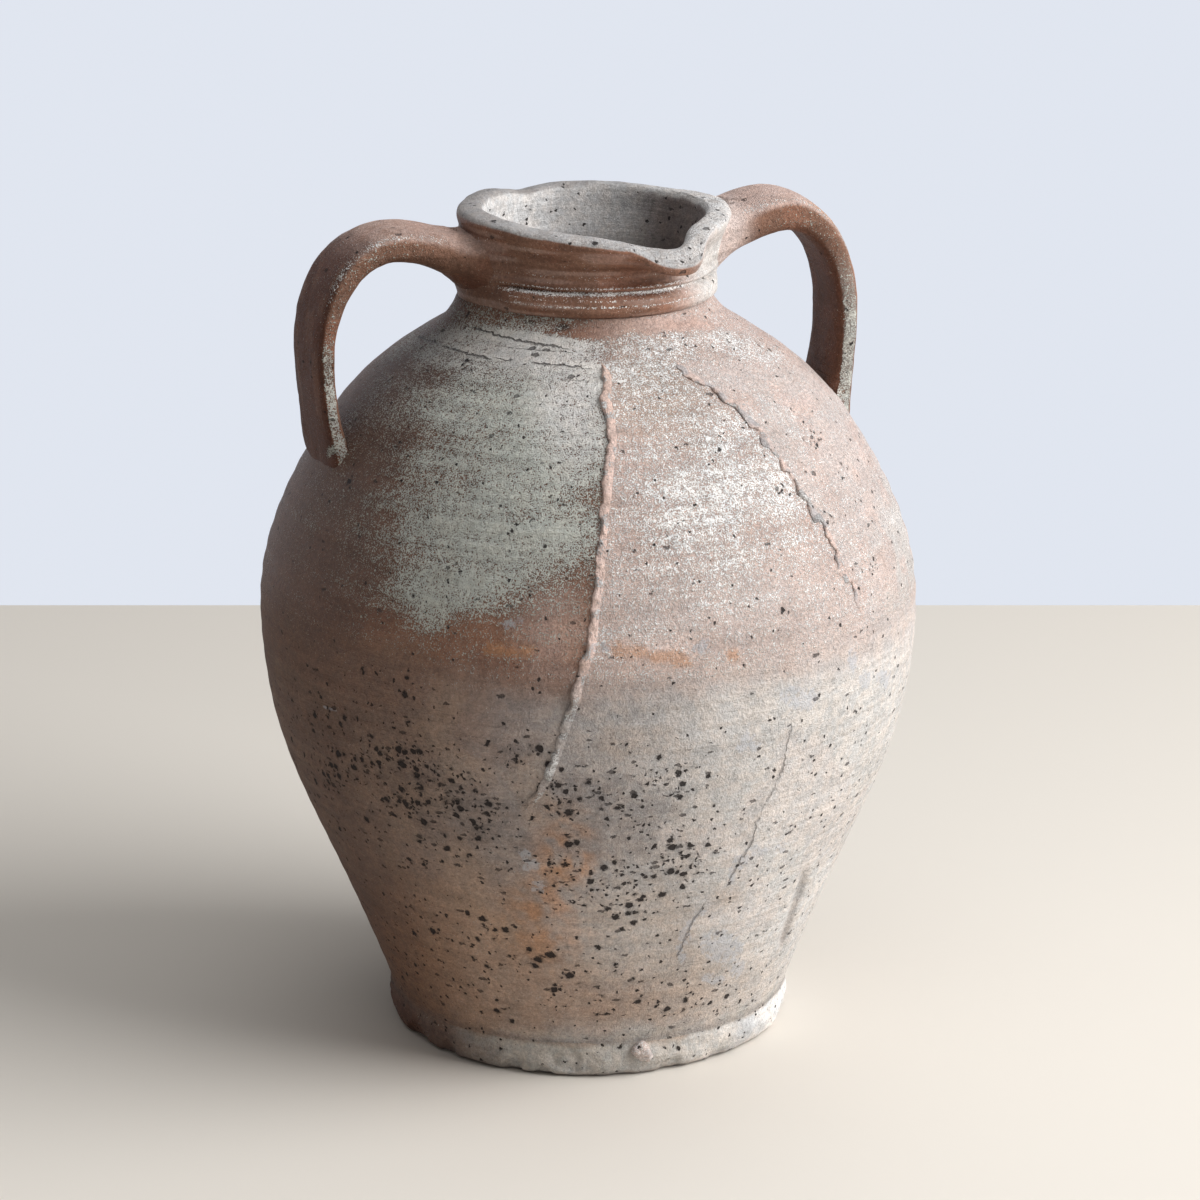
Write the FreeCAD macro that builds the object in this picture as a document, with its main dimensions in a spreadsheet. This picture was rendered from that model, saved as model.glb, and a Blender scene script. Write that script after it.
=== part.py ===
"""Two-handled stoneware olive jar with a pinched pouring lip, in millimetres.

The origin is the centre of the base on the table. +Z is up, the handles lie along X
and the spout points nearly along -Y.
"""
import FreeCAD
import Part
import Sketcher

import math
import os
from types import SimpleNamespace

# Driving dimensions of the jar
SIZES = {
    # Beaten floor slab, whose edge is the foot
    "slab_height": 17.0,
    "slab_edge_height": 7.0,
    "slab_edge_inset": 4.6,
    "slab_edge_bulge": 1.3,
    "slab_ledge": 0.9,
    # Thrown walls
    "wall": 8.5,
    "belly_radius": 145.8,
    "belly_height": 195.0,
    "lower_bow": 215.0,
    "flare_angle": 23.0,
    "upper_bow": 108.0,
    "turn_angle": 24.0,
    "shoulder_bow": 165.0,
    # Neck collar
    "neck_base_height": 325.0,
    "neck_radius": 55.0,
    "neck_foot_flare": 2.5,
    "neck_length": 29.0,
    "neck_foot_hollow": 0.9,
    "throat_radius": 46.5,
    "throat_drop": 5.0,
    # Cordon of two beads round the collar
    "cordon_rise": 9.0,
    "cordon_bead": 12.5,
    "cordon_bead_bulge": 2.8,
    "cordon_fillet": 4.5,
    "cordon_fillet_bulge": 1.0,
    "cordon_groove": 0.8,
    # Rolled lip, measured from the top of the collar
    "lip_radius": 60.0,
    "lip_edge_rise": 10.0,
    "lip_crest_radius": 56.5,
    "lip_height": 17.0,
    "lip_inner_radius": 51.0,
    "lip_inner_rise": 13.0,
    "lip_flare_hollow": 1.1,
    "lip_roll_bulge": 1.45,
    "lip_inner_bulge": 0.7,
    # Pinched spout in the lip
    "spout_turn_angle": 16.0,
    "spout_half_angle": 23.0,
    "spout_reach": 5.5,
    "spout_drop": 7.5,
    "spout_fold": 2.2,
    # Pulled strap handles
    "handle_root_rise": 25.0,
    "handle_root_width": 46.0,
    "handle_root_depth": 25.0,
    "handle_embed": 4.0,
    "handle_back_angle": 4.5,
    "handle_crown_radius": 89.0,
    "handle_crown_rise": 38.0,
    "handle_crown_depth": 13.5,
    "handle_bend_out": 33.0,
    "handle_bend_down": 44.0,
    "handle_drop_bend": 150.0,
    "strap_width": 38.0,
    "strap_depth": 8.0,
    "strap_edge": 2.6,
    "strap_foot_width": 42.0,
    "strap_foot_depth": 8.0,
    # Raised runs of glaze and a lump of kiln clay
    "run_width": 4.6,
    "run_height": 1.2,
    "wad_rise": 13.0,
    "wad_angle": 6.0,
    "wad_width": 17.0,
    "wad_depth": 9.0,
    "wad_height": 13.0,
}

# Stations of a handle's rise from the collar to its crown: the share of the way out,
# the share of the way up, the share of the root's extra depth and width, and the tilt
RISE_SHARES = (
    (0.0, 0.0, 1.0, 0.0),
    (0.22, 0.16, 0.62, 14.0),
    (0.55, 0.64, 0.24, 19.0),
)

# Turns from the spout at which the lip's section is drawn, as shares of a half turn
LIP_TURN_SHARES = (0.0, 0.05, 0.1, 0.15, 0.2, 0.28, 0.4, 0.54, 0.7, 0.85)

# Where the lip folds in beside the spout, and how far, as shares of the spout's half angle
FOLD_PLACE_SHARE = 2.0
FOLD_SPREAD_SHARE = 0.5

# Stations of a handle's bend and of its drop, as shares of their turns
BEND_SHARES = (0.0, 0.33, 0.67, 1.0)
DROP_SHARES = (0.35, 0.7, 1.0)

# Centre lines of the glaze runs seen from the front: shares of the belly's radius
# across and of the neck's base height up
FRONT_RUN_SHARES = (
    (-0.126, 0.972),
    (-0.272, 0.794),
    (-0.322, 0.723),
    (-0.388, 0.609),
    (-0.459, 0.498),
    (-0.512, 0.434),
)
RIGHT_RUN_SHARES = (
    (0.129, 0.966),
    (0.263, 0.917),
    (0.362, 0.846),
    (0.455, 0.775),
    (0.514, 0.698),
    (0.534, 0.658),
)
RUN_TIP_SHARE = 0.45

# Steps of the search for the place where a handle meets the shoulder
HALVINGS = 40

# Turns in degrees
FULL_TURN = 360.0
HALF_TURN = 180.0
QUARTER_TURN = 90.0


class Dim:
    """A size that carries its value and the sheet expression that gives it."""

    def __init__(self, value, text):
        self.value = value
        self.text = text

    def __add__(self, other):
        return Dim(self.value + other.value, f"({self.text} + {other.text})")

    def __sub__(self, other):
        return Dim(self.value - other.value, f"({self.text} - {other.text})")

    def __mul__(self, other):
        other = as_dim(other)
        return Dim(self.value * other.value, f"({self.text} * {other.text})")

    def __truediv__(self, other):
        other = as_dim(other)
        return Dim(self.value / other.value, f"({self.text} / {other.text})")

    def __neg__(self):
        return Dim(-self.value, f"(-{self.text})")


def as_dim(number):
    """Returns a Dim as it is and a plain number as a Dim."""
    return number if isinstance(number, Dim) else Dim(number, f"{number:.6f}")


doc = FreeCAD.newDocument("OliveJar")
sheet = doc.addObject("Spreadsheet::Sheet", "Sizes")
for row, (name, number) in enumerate(SIZES.items(), start=1):
    sheet.set(f"A{row}", name)
    sheet.set(f"B{row}", str(number))
    sheet.setAlias(f"B{row}", name)
doc.recompute()

size = SimpleNamespace(**{name: Dim(number, f"Sizes.{name}") for name, number in SIZES.items()})
ZERO = Dim(0.0, "0")
lip_seat_height = size.neck_base_height + size.neck_length
neck_seat_radius = size.neck_radius + size.neck_foot_flare


def angle_parts(angle):
    """Returns the sine, cosine and tangent of an angle size, as plain numbers."""
    radians = math.radians(angle.value)
    return math.sin(radians), math.cos(radians), math.tan(radians)


def new_body(name):
    """Adds an empty body to the document."""
    return doc.addObject("PartDesign::Body", name)


def new_sketch(body, name, role):
    """Adds a sketch on one of the body's own origin planes."""
    sketch = body.newObject("Sketcher::SketchObject", name)
    plane = next(item for item in body.Origin.OriginFeatures if item.Role == role)
    sketch.AttachmentSupport = [(plane, "")]
    sketch.MapMode = "FlatFace"
    return sketch


def bind(sketch, kind, places, dim):
    """Adds a sized constraint and binds it to the sheet."""
    index = sketch.addConstraint(Sketcher.Constraint(kind, *places, dim.value))
    sketch.setExpression(f"Constraints[{index}]", dim.text)


def pin(sketch, point, across, up):
    """Holds a point of a sketch at its distances from the sketch's origin."""
    for kind, dim, axis in (("DistanceX", across, -2), ("DistanceY", up, -1)):
        if dim.value == 0.0:
            sketch.addConstraint(Sketcher.Constraint("PointOnObject", *point, axis))
        elif dim.value > 0.0:
            bind(sketch, kind, (-1, 1, *point), dim)
        else:
            bind(sketch, kind, (*point, -1, 1), -dim)


def arc_between(start, end, radius):
    """Returns the short arc between two points, and whether it runs from end to start.

    A positive radius puts the centre to the left of the way from start to end.
    """
    chord = end - start
    middle = start + chord * 0.5
    left = FreeCAD.Vector(-chord.y, chord.x, 0).normalize()
    height = math.sqrt(radius * radius - chord.Length * chord.Length / 4)
    centre = middle + left * math.copysign(height, radius)
    first, last = (start, end) if radius > 0 else (end, start)
    begin = math.atan2(first.y - centre.y, first.x - centre.x)
    finish = math.atan2(last.y - centre.y, last.x - centre.x)
    if finish < begin:
        finish += 2 * math.pi
    circle = Part.Circle(centre, FreeCAD.Vector(0, 0, 1), abs(radius))
    return Part.ArcOfCircle(circle, begin, finish), radius < 0


def bow(corners, side, bulge):
    """Radius of the arc that stands out by the bulge from the chord of an outline's side."""
    (start_across, start_up), (end_across, end_up) = corners[side], corners[side + 1]
    across = end_across - start_across
    up = end_up - start_up
    return (across * across + up * up) / (bulge * 8) + bulge / 2


def draw_outline(sketch, corners, bows):
    """Draws a closed outline whose corners and arc radii are bound to the sheet.

    Each corner is a pair of Dims. bows maps the number of a side, counted from the
    corner it leaves, to the signed radius of its arc; the other sides are straight.
    """
    points = [FreeCAD.Vector(across.value, up.value, 0) for across, up in corners]
    ends = []
    for side, start in enumerate(points):
        end = points[(side + 1) % len(points)]
        backwards = False
        if side in bows:
            curve, backwards = arc_between(start, end, bows[side].value)
        else:
            curve = Part.LineSegment(start, end)
        geometry = sketch.addGeometry(curve)
        ends.append(((geometry, 2), (geometry, 1)) if backwards else ((geometry, 1), (geometry, 2)))
    for side, (across, up) in enumerate(corners):
        meeting = (*ends[side - 1][1], *ends[side][0])
        sketch.addConstraint(Sketcher.Constraint("Coincident", *meeting))
        pin(sketch, ends[side][0], across, up)
        if side in bows:
            radius = bows[side]
            bind(sketch, "Radius", (ends[side][0][0],), radius if radius.value > 0 else -radius)


def revolve(name, corners, bows):
    """Makes a body by turning a closed outline about the jar's axis."""
    body = new_body(name)
    sketch = new_sketch(body, f"{name}_profile", "XZ_Plane")
    draw_outline(sketch, corners, bows)
    turned = body.newObject("PartDesign::Revolution", f"{name}_turn")
    turned.Profile = sketch
    turned.ReferenceAxis = (sketch, ["V_Axis"])
    turned.Angle = FULL_TURN
    body.Tip = turned
    return body


def subtract(name, base, tools):
    """Cuts each tool from a base in turn and returns the last cut."""
    for count, tool in enumerate(tools, start=1):
        cut = doc.addObject("Part::Cut", f"{name}_cut{count}")
        cut.Base = base
        cut.Tool = tool
        base = cut
    return base


def foot_corner(offset):
    """Foot of the lower wall at an offset from its outer face."""
    bend_across, bend_up = bend_corner(offset)
    tangent = angle_parts(size.flare_angle)[2]
    return bend_across - (bend_up - size.slab_height) * tangent, size.slab_height


def bend_corner(offset):
    """Point where the lower wall's straight flare turns into its bow."""
    sine, cosine, _ = angle_parts(size.flare_angle)
    radius = size.lower_bow + offset
    return size.belly_radius - size.lower_bow + radius * cosine, size.belly_height - radius * sine


def belly_corner(offset):
    """Widest ring of the belly at an offset from its outer face."""
    return size.belly_radius + offset, size.belly_height


def turn_corner(offset):
    """Point where the upper belly's bow turns into the flatter shoulder."""
    sine, cosine, _ = angle_parts(size.turn_angle)
    radius = size.upper_bow + offset
    return size.belly_radius - size.upper_bow + radius * cosine, size.belly_height + radius * sine


def lower_band(name, inner, outer):
    """Turned band of the lower wall between two offsets from its outer face."""
    corners = (foot_corner(inner), foot_corner(outer), bend_corner(outer),
               belly_corner(outer), belly_corner(inner), bend_corner(inner))
    bows = {2: size.lower_bow + outer, 4: -(size.lower_bow + inner)}
    return revolve(name, corners, bows)


def upper_band(name, inner, outer, top):
    """Turned band of the upper wall; top lists its corners at the neck, outside first."""
    corners = (belly_corner(outer), turn_corner(outer), *top, turn_corner(inner), belly_corner(inner))
    last = len(top) + 1
    bows = {
        0: size.upper_bow + outer,
        1: size.shoulder_bow + outer,
        last: -(size.shoulder_bow + inner),
        last + 1: -(size.upper_bow + inner),
    }
    return revolve(name, corners, bows)


def make_base_slab():
    """Flat slab whose swollen edge stands a little past the foot of the wall."""
    edge_radius = foot_corner(ZERO)[0] + size.slab_ledge
    corners = (
        (ZERO, ZERO),
        (edge_radius - size.slab_edge_inset, ZERO),
        (edge_radius, size.slab_edge_height),
        (edge_radius, size.slab_height),
        (ZERO, size.slab_height),
    )
    return revolve("base_slab", corners, {1: bow(corners, 1, size.slab_edge_bulge)})


def make_upper_wall():
    """Upper belly and shoulder, cut flat at the neck to seat the collar."""
    top = (
        (neck_seat_radius, size.neck_base_height),
        (size.throat_radius, size.neck_base_height),
        (size.throat_radius, size.neck_base_height - size.throat_drop),
    )
    return upper_band("upper_wall", -size.wall, ZERO, top)


def make_neck_collar():
    """Collar that stands on the shoulder and hollows in to the cordon."""
    corners = (
        (size.throat_radius, size.neck_base_height),
        (neck_seat_radius, size.neck_base_height),
        (size.neck_radius, size.neck_base_height + size.cordon_rise),
        (size.neck_radius, lip_seat_height),
        (size.throat_radius, lip_seat_height),
    )
    return revolve("neck_collar", corners, {1: -bow(corners, 1, size.neck_foot_hollow)})


def make_neck_cordon():
    """Broad bead with a narrow one above it, on the collar's outer face."""
    low = size.neck_base_height + size.cordon_rise
    groove = low + size.cordon_bead
    corners = (
        (size.neck_radius, low),
        (size.neck_radius + size.cordon_groove, groove),
        (size.neck_radius, groove + size.cordon_fillet),
    )
    bows = {0: bow(corners, 0, size.cordon_bead_bulge), 1: bow(corners, 1, size.cordon_fillet_bulge)}
    return revolve("neck_cordon", corners, bows)


def bell(turn, spread):
    """Smooth share that is 1 at no turn and fades over the spread."""
    return math.exp(-((turn / spread) ** 2))


def lip_section(turn):
    """Corners and bows of the lip's section at a turn, in degrees, from the middle of the spout."""
    spread = size.spout_half_angle.value
    dip_share = bell(turn, spread)
    fold_share = bell(abs(turn) - spread * FOLD_PLACE_SHARE, spread * FOLD_SPREAD_SHARE)
    out = size.spout_reach * dip_share - size.spout_fold * fold_share
    level = lip_seat_height - size.spout_drop * dip_share
    corners = (
        (size.throat_radius, lip_seat_height),
        (size.neck_radius, lip_seat_height),
        (size.lip_radius + out, level + size.lip_edge_rise),
        (size.lip_crest_radius + out, level + size.lip_height),
        (size.lip_inner_radius + out, level + size.lip_inner_rise),
    )
    bows = {
        1: -bow(corners, 1, size.lip_flare_hollow),
        2: bow(corners, 2, size.lip_roll_bulge),
        3: bow(corners, 3, size.lip_inner_bulge),
    }
    return corners, bows


def make_pouring_lip():
    """Rolled lip lofted round the mouth, drawn out and down at the spout."""
    body = new_body("pouring_lip")
    turns = [share * HALF_TURN for share in LIP_TURN_SHARES]
    turns += [HALF_TURN] + [-turn for turn in reversed(turns[1:])]
    sections = []
    for count, turn in enumerate(turns):
        sketch = new_sketch(body, f"lip_section{count}", "XZ_Plane")
        spin = FreeCAD.Rotation(FreeCAD.Vector(0, 1, 0), turn + size.spout_turn_angle.value - QUARTER_TURN)
        sketch.AttachmentOffset = FreeCAD.Placement(FreeCAD.Vector(), spin)
        draw_outline(sketch, *lip_section(turn))
        sections.append(sketch)
    doc.recompute()
    loft = body.newObject("PartDesign::AdditiveLoft", "lip_loft")
    loft.Profile = sections[0]
    loft.Sections = sections[1:]
    loft.Closed = True
    body.Tip = loft
    return body


def drop_turn(outer, height):
    """Turn, in radians, after which a handle's drop from its outermost point meets the shoulder.

    The middle of the strap is then sunk in the wall by the handle's embed.
    """
    ends = [FreeCAD.Vector(across.value, up.value, 0)
            for across, up in (turn_corner(ZERO), (neck_seat_radius, size.neck_base_height))]
    centre = arc_between(*ends, size.shoulder_bow.value)[0].Center
    depth = size.shoulder_bow.value - size.handle_embed.value
    bend = size.handle_drop_bend.value
    low, high = 0.0, math.radians(QUARTER_TURN)
    for _ in range(HALVINGS):
        turn = (low + high) / 2
        inwards = bend * (1 - math.cos(turn))
        drop = bend * math.sin(turn)
        point = FreeCAD.Vector(outer.value - inwards, height.value - drop, 0)
        if (point - centre).Length > depth:
            low = turn
        else:
            high = turn
    return low


def handle_stations():
    """Lists a handle's sections: distance out, height, tilt, width and depth."""
    start = size.neck_radius - size.handle_embed
    root_height = size.neck_base_height + size.handle_root_rise
    crown_height = size.neck_base_height + size.handle_crown_rise
    way_out = size.handle_crown_radius - start
    way_up = crown_height - root_height
    extra_depth = size.handle_root_depth - size.handle_crown_depth
    extra_width = size.handle_root_width - size.strap_width
    stations = []
    for out_share, up_share, root_share, tilt in RISE_SHARES:
        stations.append((start + way_out * out_share, root_height + way_up * up_share, tilt,
                         size.strap_width + extra_width * root_share,
                         size.handle_crown_depth + extra_depth * root_share))
    thinning = size.handle_crown_depth - size.strap_depth
    for turn_share in BEND_SHARES:
        turn = math.radians(QUARTER_TURN * turn_share)
        sine, cosine = math.sin(turn), math.cos(turn)
        tilt = math.atan2(-size.handle_bend_down.value * sine, size.handle_bend_out.value * cosine)
        stations.append((size.handle_crown_radius + size.handle_bend_out * sine,
                         crown_height - size.handle_bend_down * (1 - cosine),
                         math.degrees(tilt), size.strap_width,
                         size.handle_crown_depth - thinning * turn_share))
    outer = size.handle_crown_radius + size.handle_bend_out
    outer_height = crown_height - size.handle_bend_down
    full_turn = drop_turn(outer, outer_height)
    for drop_share in DROP_SHARES:
        turn = full_turn * drop_share
        inwards = size.handle_drop_bend * (1 - math.cos(turn))
        drop = size.handle_drop_bend * math.sin(turn)
        stations.append((outer - inwards, outer_height - drop, -QUARTER_TURN - math.degrees(turn),
                         size.strap_width + (size.strap_foot_width - size.strap_width) * drop_share,
                         size.strap_depth + (size.strap_foot_depth - size.strap_depth) * drop_share))
    return stations


def draw_strap_section(sketch, width, depth):
    """Draws a flat strap section with rounded edges about the sketch's origin."""
    flat = width * 0.5 - size.strap_edge
    half = depth * 0.5
    corners = ((-flat, -half), (flat, -half), (flat, half), (-flat, half))
    round_edge = bow(corners, 1, size.strap_edge)
    draw_outline(sketch, corners, {1: round_edge, 3: round_edge})


def make_handle(name, turn, seats):
    """Lofts a strap handle, turns it to its side and trims it to the jar it is luted to."""
    body = new_body(f"{name}_strap")
    sections = []
    for count, (out, height, tilt, width, depth) in enumerate(handle_stations()):
        sketch = new_sketch(body, f"{name}_section{count}", "YZ_Plane")
        lean = FreeCAD.Rotation(FreeCAD.Vector(1, 0, 0), -tilt)
        sketch.AttachmentOffset = FreeCAD.Placement(FreeCAD.Vector(0, height.value, out.value), lean)
        sketch.setExpression("AttachmentOffset.Base.y", height.text)
        sketch.setExpression("AttachmentOffset.Base.z", out.text)
        draw_strap_section(sketch, width, depth)
        sections.append(sketch)
    doc.recompute()
    loft = body.newObject("PartDesign::AdditiveLoft", f"{name}_loft")
    loft.Profile = sections[0]
    loft.Sections = sections[1:]
    body.Tip = loft
    body.Placement = FreeCAD.Placement(FreeCAD.Vector(), FreeCAD.Rotation(FreeCAD.Vector(0, 0, 1), turn))
    return subtract(name, body, seats)


def run_outline(shares):
    """Outline of a run about its centre line, narrowing to its ends."""
    sides = ([], [])
    last = len(shares) - 1
    for count, (across_share, up_share) in enumerate(shares):
        half = size.run_width * 0.5
        if count in (0, last):
            half = half * RUN_TIP_SHARE
        across = size.belly_radius * across_share
        up = size.neck_base_height * up_share
        sides[0].append((across - half, up))
        sides[1].append((across + half, up))
    return sides[0] + sides[1][::-1]


def make_glaze_run(name, shares, skin):
    """Part of a thin skin over the walls that lies within a run's outline."""
    body = new_body(f"{name}_outline")
    sketch = new_sketch(body, f"{name}_sketch", "XZ_Plane")
    draw_outline(sketch, run_outline(shares), {})
    pad = body.newObject("PartDesign::Pad", f"{name}_pad")
    pad.Profile = sketch
    reach = size.belly_radius + size.wall
    pad.Length = reach.value
    pad.setExpression("Length", reach.text)
    body.Tip = pad
    run = doc.addObject("Part::Common", f"{name}_run")
    run.Base = skin
    run.Tool = body
    return run


def make_skin():
    """Thin skin over both walls, from which the glaze runs are taken."""
    top = (
        (neck_seat_radius + size.run_height, size.neck_base_height),
        (neck_seat_radius, size.neck_base_height),
    )
    skin = doc.addObject("Part::Fuse", "skin")
    skin.Base = lower_band("lower_skin", ZERO, size.run_height)
    skin.Tool = upper_band("upper_skin", ZERO, size.run_height, top)
    return skin


def make_stuck_wad(seats):
    """Lump of kiln clay on the edge of the slab."""
    lump = doc.addObject("Part::Ellipsoid", "wad_lump")
    extents = {"Radius1": size.wad_depth, "Radius2": size.wad_width, "Radius3": size.wad_height}
    for prop, dim in extents.items():
        half = dim * 0.5
        setattr(lump, prop, half.value)
        lump.setExpression(prop, half.text)
    edge = foot_corner(ZERO)[0] + size.slab_ledge
    sine, cosine, _ = angle_parts(size.wad_angle)
    places = {"x": edge * -sine, "y": edge * -cosine, "z": size.wad_rise}
    lump.Placement.Rotation = FreeCAD.Rotation(-size.wad_angle.value, 0, QUARTER_TURN)
    for axis, dim in places.items():
        lump.setExpression(f"Placement.Base.{axis}", dim.text)
    return subtract("wad", lump, seats)


def main():
    """Builds every piece, checks it and writes it."""
    slab = make_base_slab()
    lower = lower_band("lower_wall", -size.wall, ZERO)
    upper = make_upper_wall()
    collar = make_neck_collar()
    cordon = make_neck_cordon()
    lip = make_pouring_lip()
    doc.recompute()
    plain_lip = revolve("plain_lip", *lip_section(HALF_TURN))
    seats = (upper, collar, cordon, plain_lip)
    skin = make_skin()
    nodes = {
        "base_slab": slab,
        "lower_wall": lower,
        "upper_wall": upper,
        "neck_collar": collar,
        "neck_cordon": cordon,
        "pouring_lip": lip,
        "left_handle": make_handle("left_handle", HALF_TURN - size.handle_back_angle.value, seats),
        "right_handle": make_handle("right_handle", size.handle_back_angle.value, seats),
        "front_glaze_run": make_glaze_run("front_run", FRONT_RUN_SHARES, skin),
        "right_glaze_run": make_glaze_run("right_run", RIGHT_RUN_SHARES, skin),
        "stuck_wad": make_stuck_wad((slab, lower)),
    }
    doc.recompute()
    for label, node in nodes.items():
        node.Label = label
    for item in doc.Objects:
        if "Invalid" in item.State or "Error" in item.State:
            raise RuntimeError(f"{item.Name} did not recompute: {item.State}")
    for label, node in nodes.items():
        if node.Shape.isNull() or not node.Shape.isValid():
            raise RuntimeError(f"{label} has no valid shape")
        box = node.Shape.BoundBox
        print(label, len(node.Shape.Solids), "solid", round(node.Shape.Volume / 1000, 2), "cm3",
              [round(value, 1) for value in (box.XMin, box.XMax, box.YMin, box.YMax, box.ZMin, box.ZMax)])
    os.makedirs("parts", exist_ok=True)
    for label, node in nodes.items():
        node.Shape.exportStep(f"parts/{label}.step")


main()
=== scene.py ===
"""Looks of a two-handled stoneware olive jar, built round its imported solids."""
import logging
import math
from dataclasses import dataclass
from enum import Enum
from typing import ClassVar

import bmesh
import bpy
import numpy as np
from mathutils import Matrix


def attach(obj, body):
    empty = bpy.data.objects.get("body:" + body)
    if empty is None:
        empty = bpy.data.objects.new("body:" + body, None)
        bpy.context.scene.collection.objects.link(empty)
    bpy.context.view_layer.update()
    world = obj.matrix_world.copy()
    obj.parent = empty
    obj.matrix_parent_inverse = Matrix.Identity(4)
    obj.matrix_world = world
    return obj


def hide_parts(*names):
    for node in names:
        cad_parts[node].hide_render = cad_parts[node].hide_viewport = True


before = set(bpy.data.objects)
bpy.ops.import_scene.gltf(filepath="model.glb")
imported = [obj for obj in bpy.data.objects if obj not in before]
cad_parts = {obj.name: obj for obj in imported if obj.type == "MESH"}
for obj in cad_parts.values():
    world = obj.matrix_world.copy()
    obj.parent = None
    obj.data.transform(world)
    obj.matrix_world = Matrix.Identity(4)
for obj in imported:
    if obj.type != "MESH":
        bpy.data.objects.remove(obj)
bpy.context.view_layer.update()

BODY = "root"
MM = 0.001
FULL_TURN = 2.0 * math.pi
TINY = 1e-9
MERGE_M = 1e-6
HANDLE_TURN = 4.5
COLLAR_FILLET = 14.0
WALL_FILLET = 7.0
FOOT_FILLET = 5.0
UP = np.array((0.0, 0.0, 1.0))
SEED_STEP = np.array((17.3, 5.1, 9.7))
LATTICE = np.random.default_rng(17).uniform(-1.0, 1.0, (64, 64, 64))

Colour = tuple[float, float, float, float]
Outline = tuple[tuple[float, float], ...]

log = logging.getLogger("olive_jar")


class Clay(Enum):
    """Colours of the jar, fired colours that some marks also use as painted light and shade, as display
    values from 0 to 255.
    """

    TAUPE = (146, 127, 115)
    UMBER = (102, 78, 66)
    IRON = (137, 103, 85)
    BRICK = (152, 108, 88)
    SEPIA = (86, 53, 40)
    ROSE = (216, 192, 182)
    PEACH = (213, 199, 193)
    CHALK = (213, 210, 206)
    LILAC = (170, 164, 161)
    TAN = (176, 154, 134)
    RUST = (192, 142, 102)
    SLATE = (170, 172, 175)
    # greyish brown of smoky marks, also used as painted shade in creases, in the throat and beside the right
    # run
    SMOKE = (106, 93, 88)
    ASH = (184, 186, 178)
    CREAM = (234, 233, 231)
    BONE = (193, 192, 191)
    PUTTY = (190, 188, 182)
    # near black of gouges, also used as painted shadow under the cordon
    SOOT = (48, 42, 40)

    @property
    def linear(self) -> np.ndarray:
        """The colour as linear light from 0 to 1."""
        share = np.array(self.value, float) / 255.0
        return np.where(share <= 0.04045, share / 12.92, ((share + 0.055) / 1.055) ** 2.4)


class Side(Enum):
    """The jar's two handle sides, with the turn of each handle about the jar's axis in degrees."""

    LEFT = 180.0 - HANDLE_TURN
    RIGHT = HANDLE_TURN

    @property
    def outwards(self) -> np.ndarray:
        """Level direction from the jar's axis to the handle."""
        return np.array((math.cos(math.radians(self.value)), math.sin(math.radians(self.value)), 0.0))

    @property
    def frontwards(self) -> np.ndarray:
        """Level direction across the handle, towards the jar's front."""
        across = np.array((-self.outwards[1], self.outwards[0], 0.0))
        return across if self is Side.LEFT else -across


def smooth_step(low: float, high: float, amount: np.ndarray | float) -> np.ndarray:
    """Eases from 0 at low to 1 at high.

    Args:
        low: Value that gives 0.
        high: Value that gives 1; it may be the smaller of the two.
        amount: Values to ease.

    Returns:
        Shares from 0 to 1.
    """
    share = np.clip((amount - low) / (high - low), 0.0, 1.0)
    return share * share * (3.0 - 2.0 * share)


def bell(amount: np.ndarray, half: float, power: float = 2.0) -> np.ndarray:
    """Falls smoothly from 1 at zero, to about a third at half and to nothing beyond."""
    return np.exp(-(np.abs(amount / half) ** power))


def ripple(points: np.ndarray, size: float, seed: int) -> np.ndarray:
    """Smooth unevenness of about -1 to 1 over points.

    Args:
        points: Places in millimetres, one row each.
        size: Width of a bump in millimetres.
        seed: Number that sets one pattern apart from another.

    Returns:
        One value for each point.
    """
    moved = points / size + SEED_STEP * seed
    base = np.floor(moved).astype(int)
    part = moved - base
    ease = part ** 3 * (part * (part * 6.0 - 15.0) + 10.0)
    total = np.zeros(len(points))
    for corner in np.ndindex(2, 2, 2):
        share = np.prod(np.where(np.array(corner) == 1, ease, 1.0 - ease), axis=1)
        cell = (base + np.array(corner)) % len(LATTICE)
        total += share * LATTICE[cell[:, 0], cell[:, 1], cell[:, 2]]
    return total


def from_axis(points: np.ndarray) -> np.ndarray:
    """Distance of points from the jar's axis."""
    return np.hypot(points[:, 0], points[:, 1])


def outwardness(points: np.ndarray, normals: np.ndarray) -> np.ndarray:
    """How far faces look away from the jar's axis, from -1 to 1."""
    return np.einsum("ij,ij->i", normals[:, :2], points[:, :2]) / (from_axis(points) + TINY)


def turn_gap(turn: np.ndarray, at: float) -> np.ndarray:
    """Shortest way from one turn to others, in degrees from -180 to 180."""
    return (turn - at + 180.0) % 360.0 - 180.0


def smoothed(values: np.ndarray, span: int) -> np.ndarray:
    """Evens values out over a span of neighbours, and drops half a span at either end."""
    window = np.hanning(span)
    return np.convolve(values, window / window.sum(), "valid")


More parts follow.
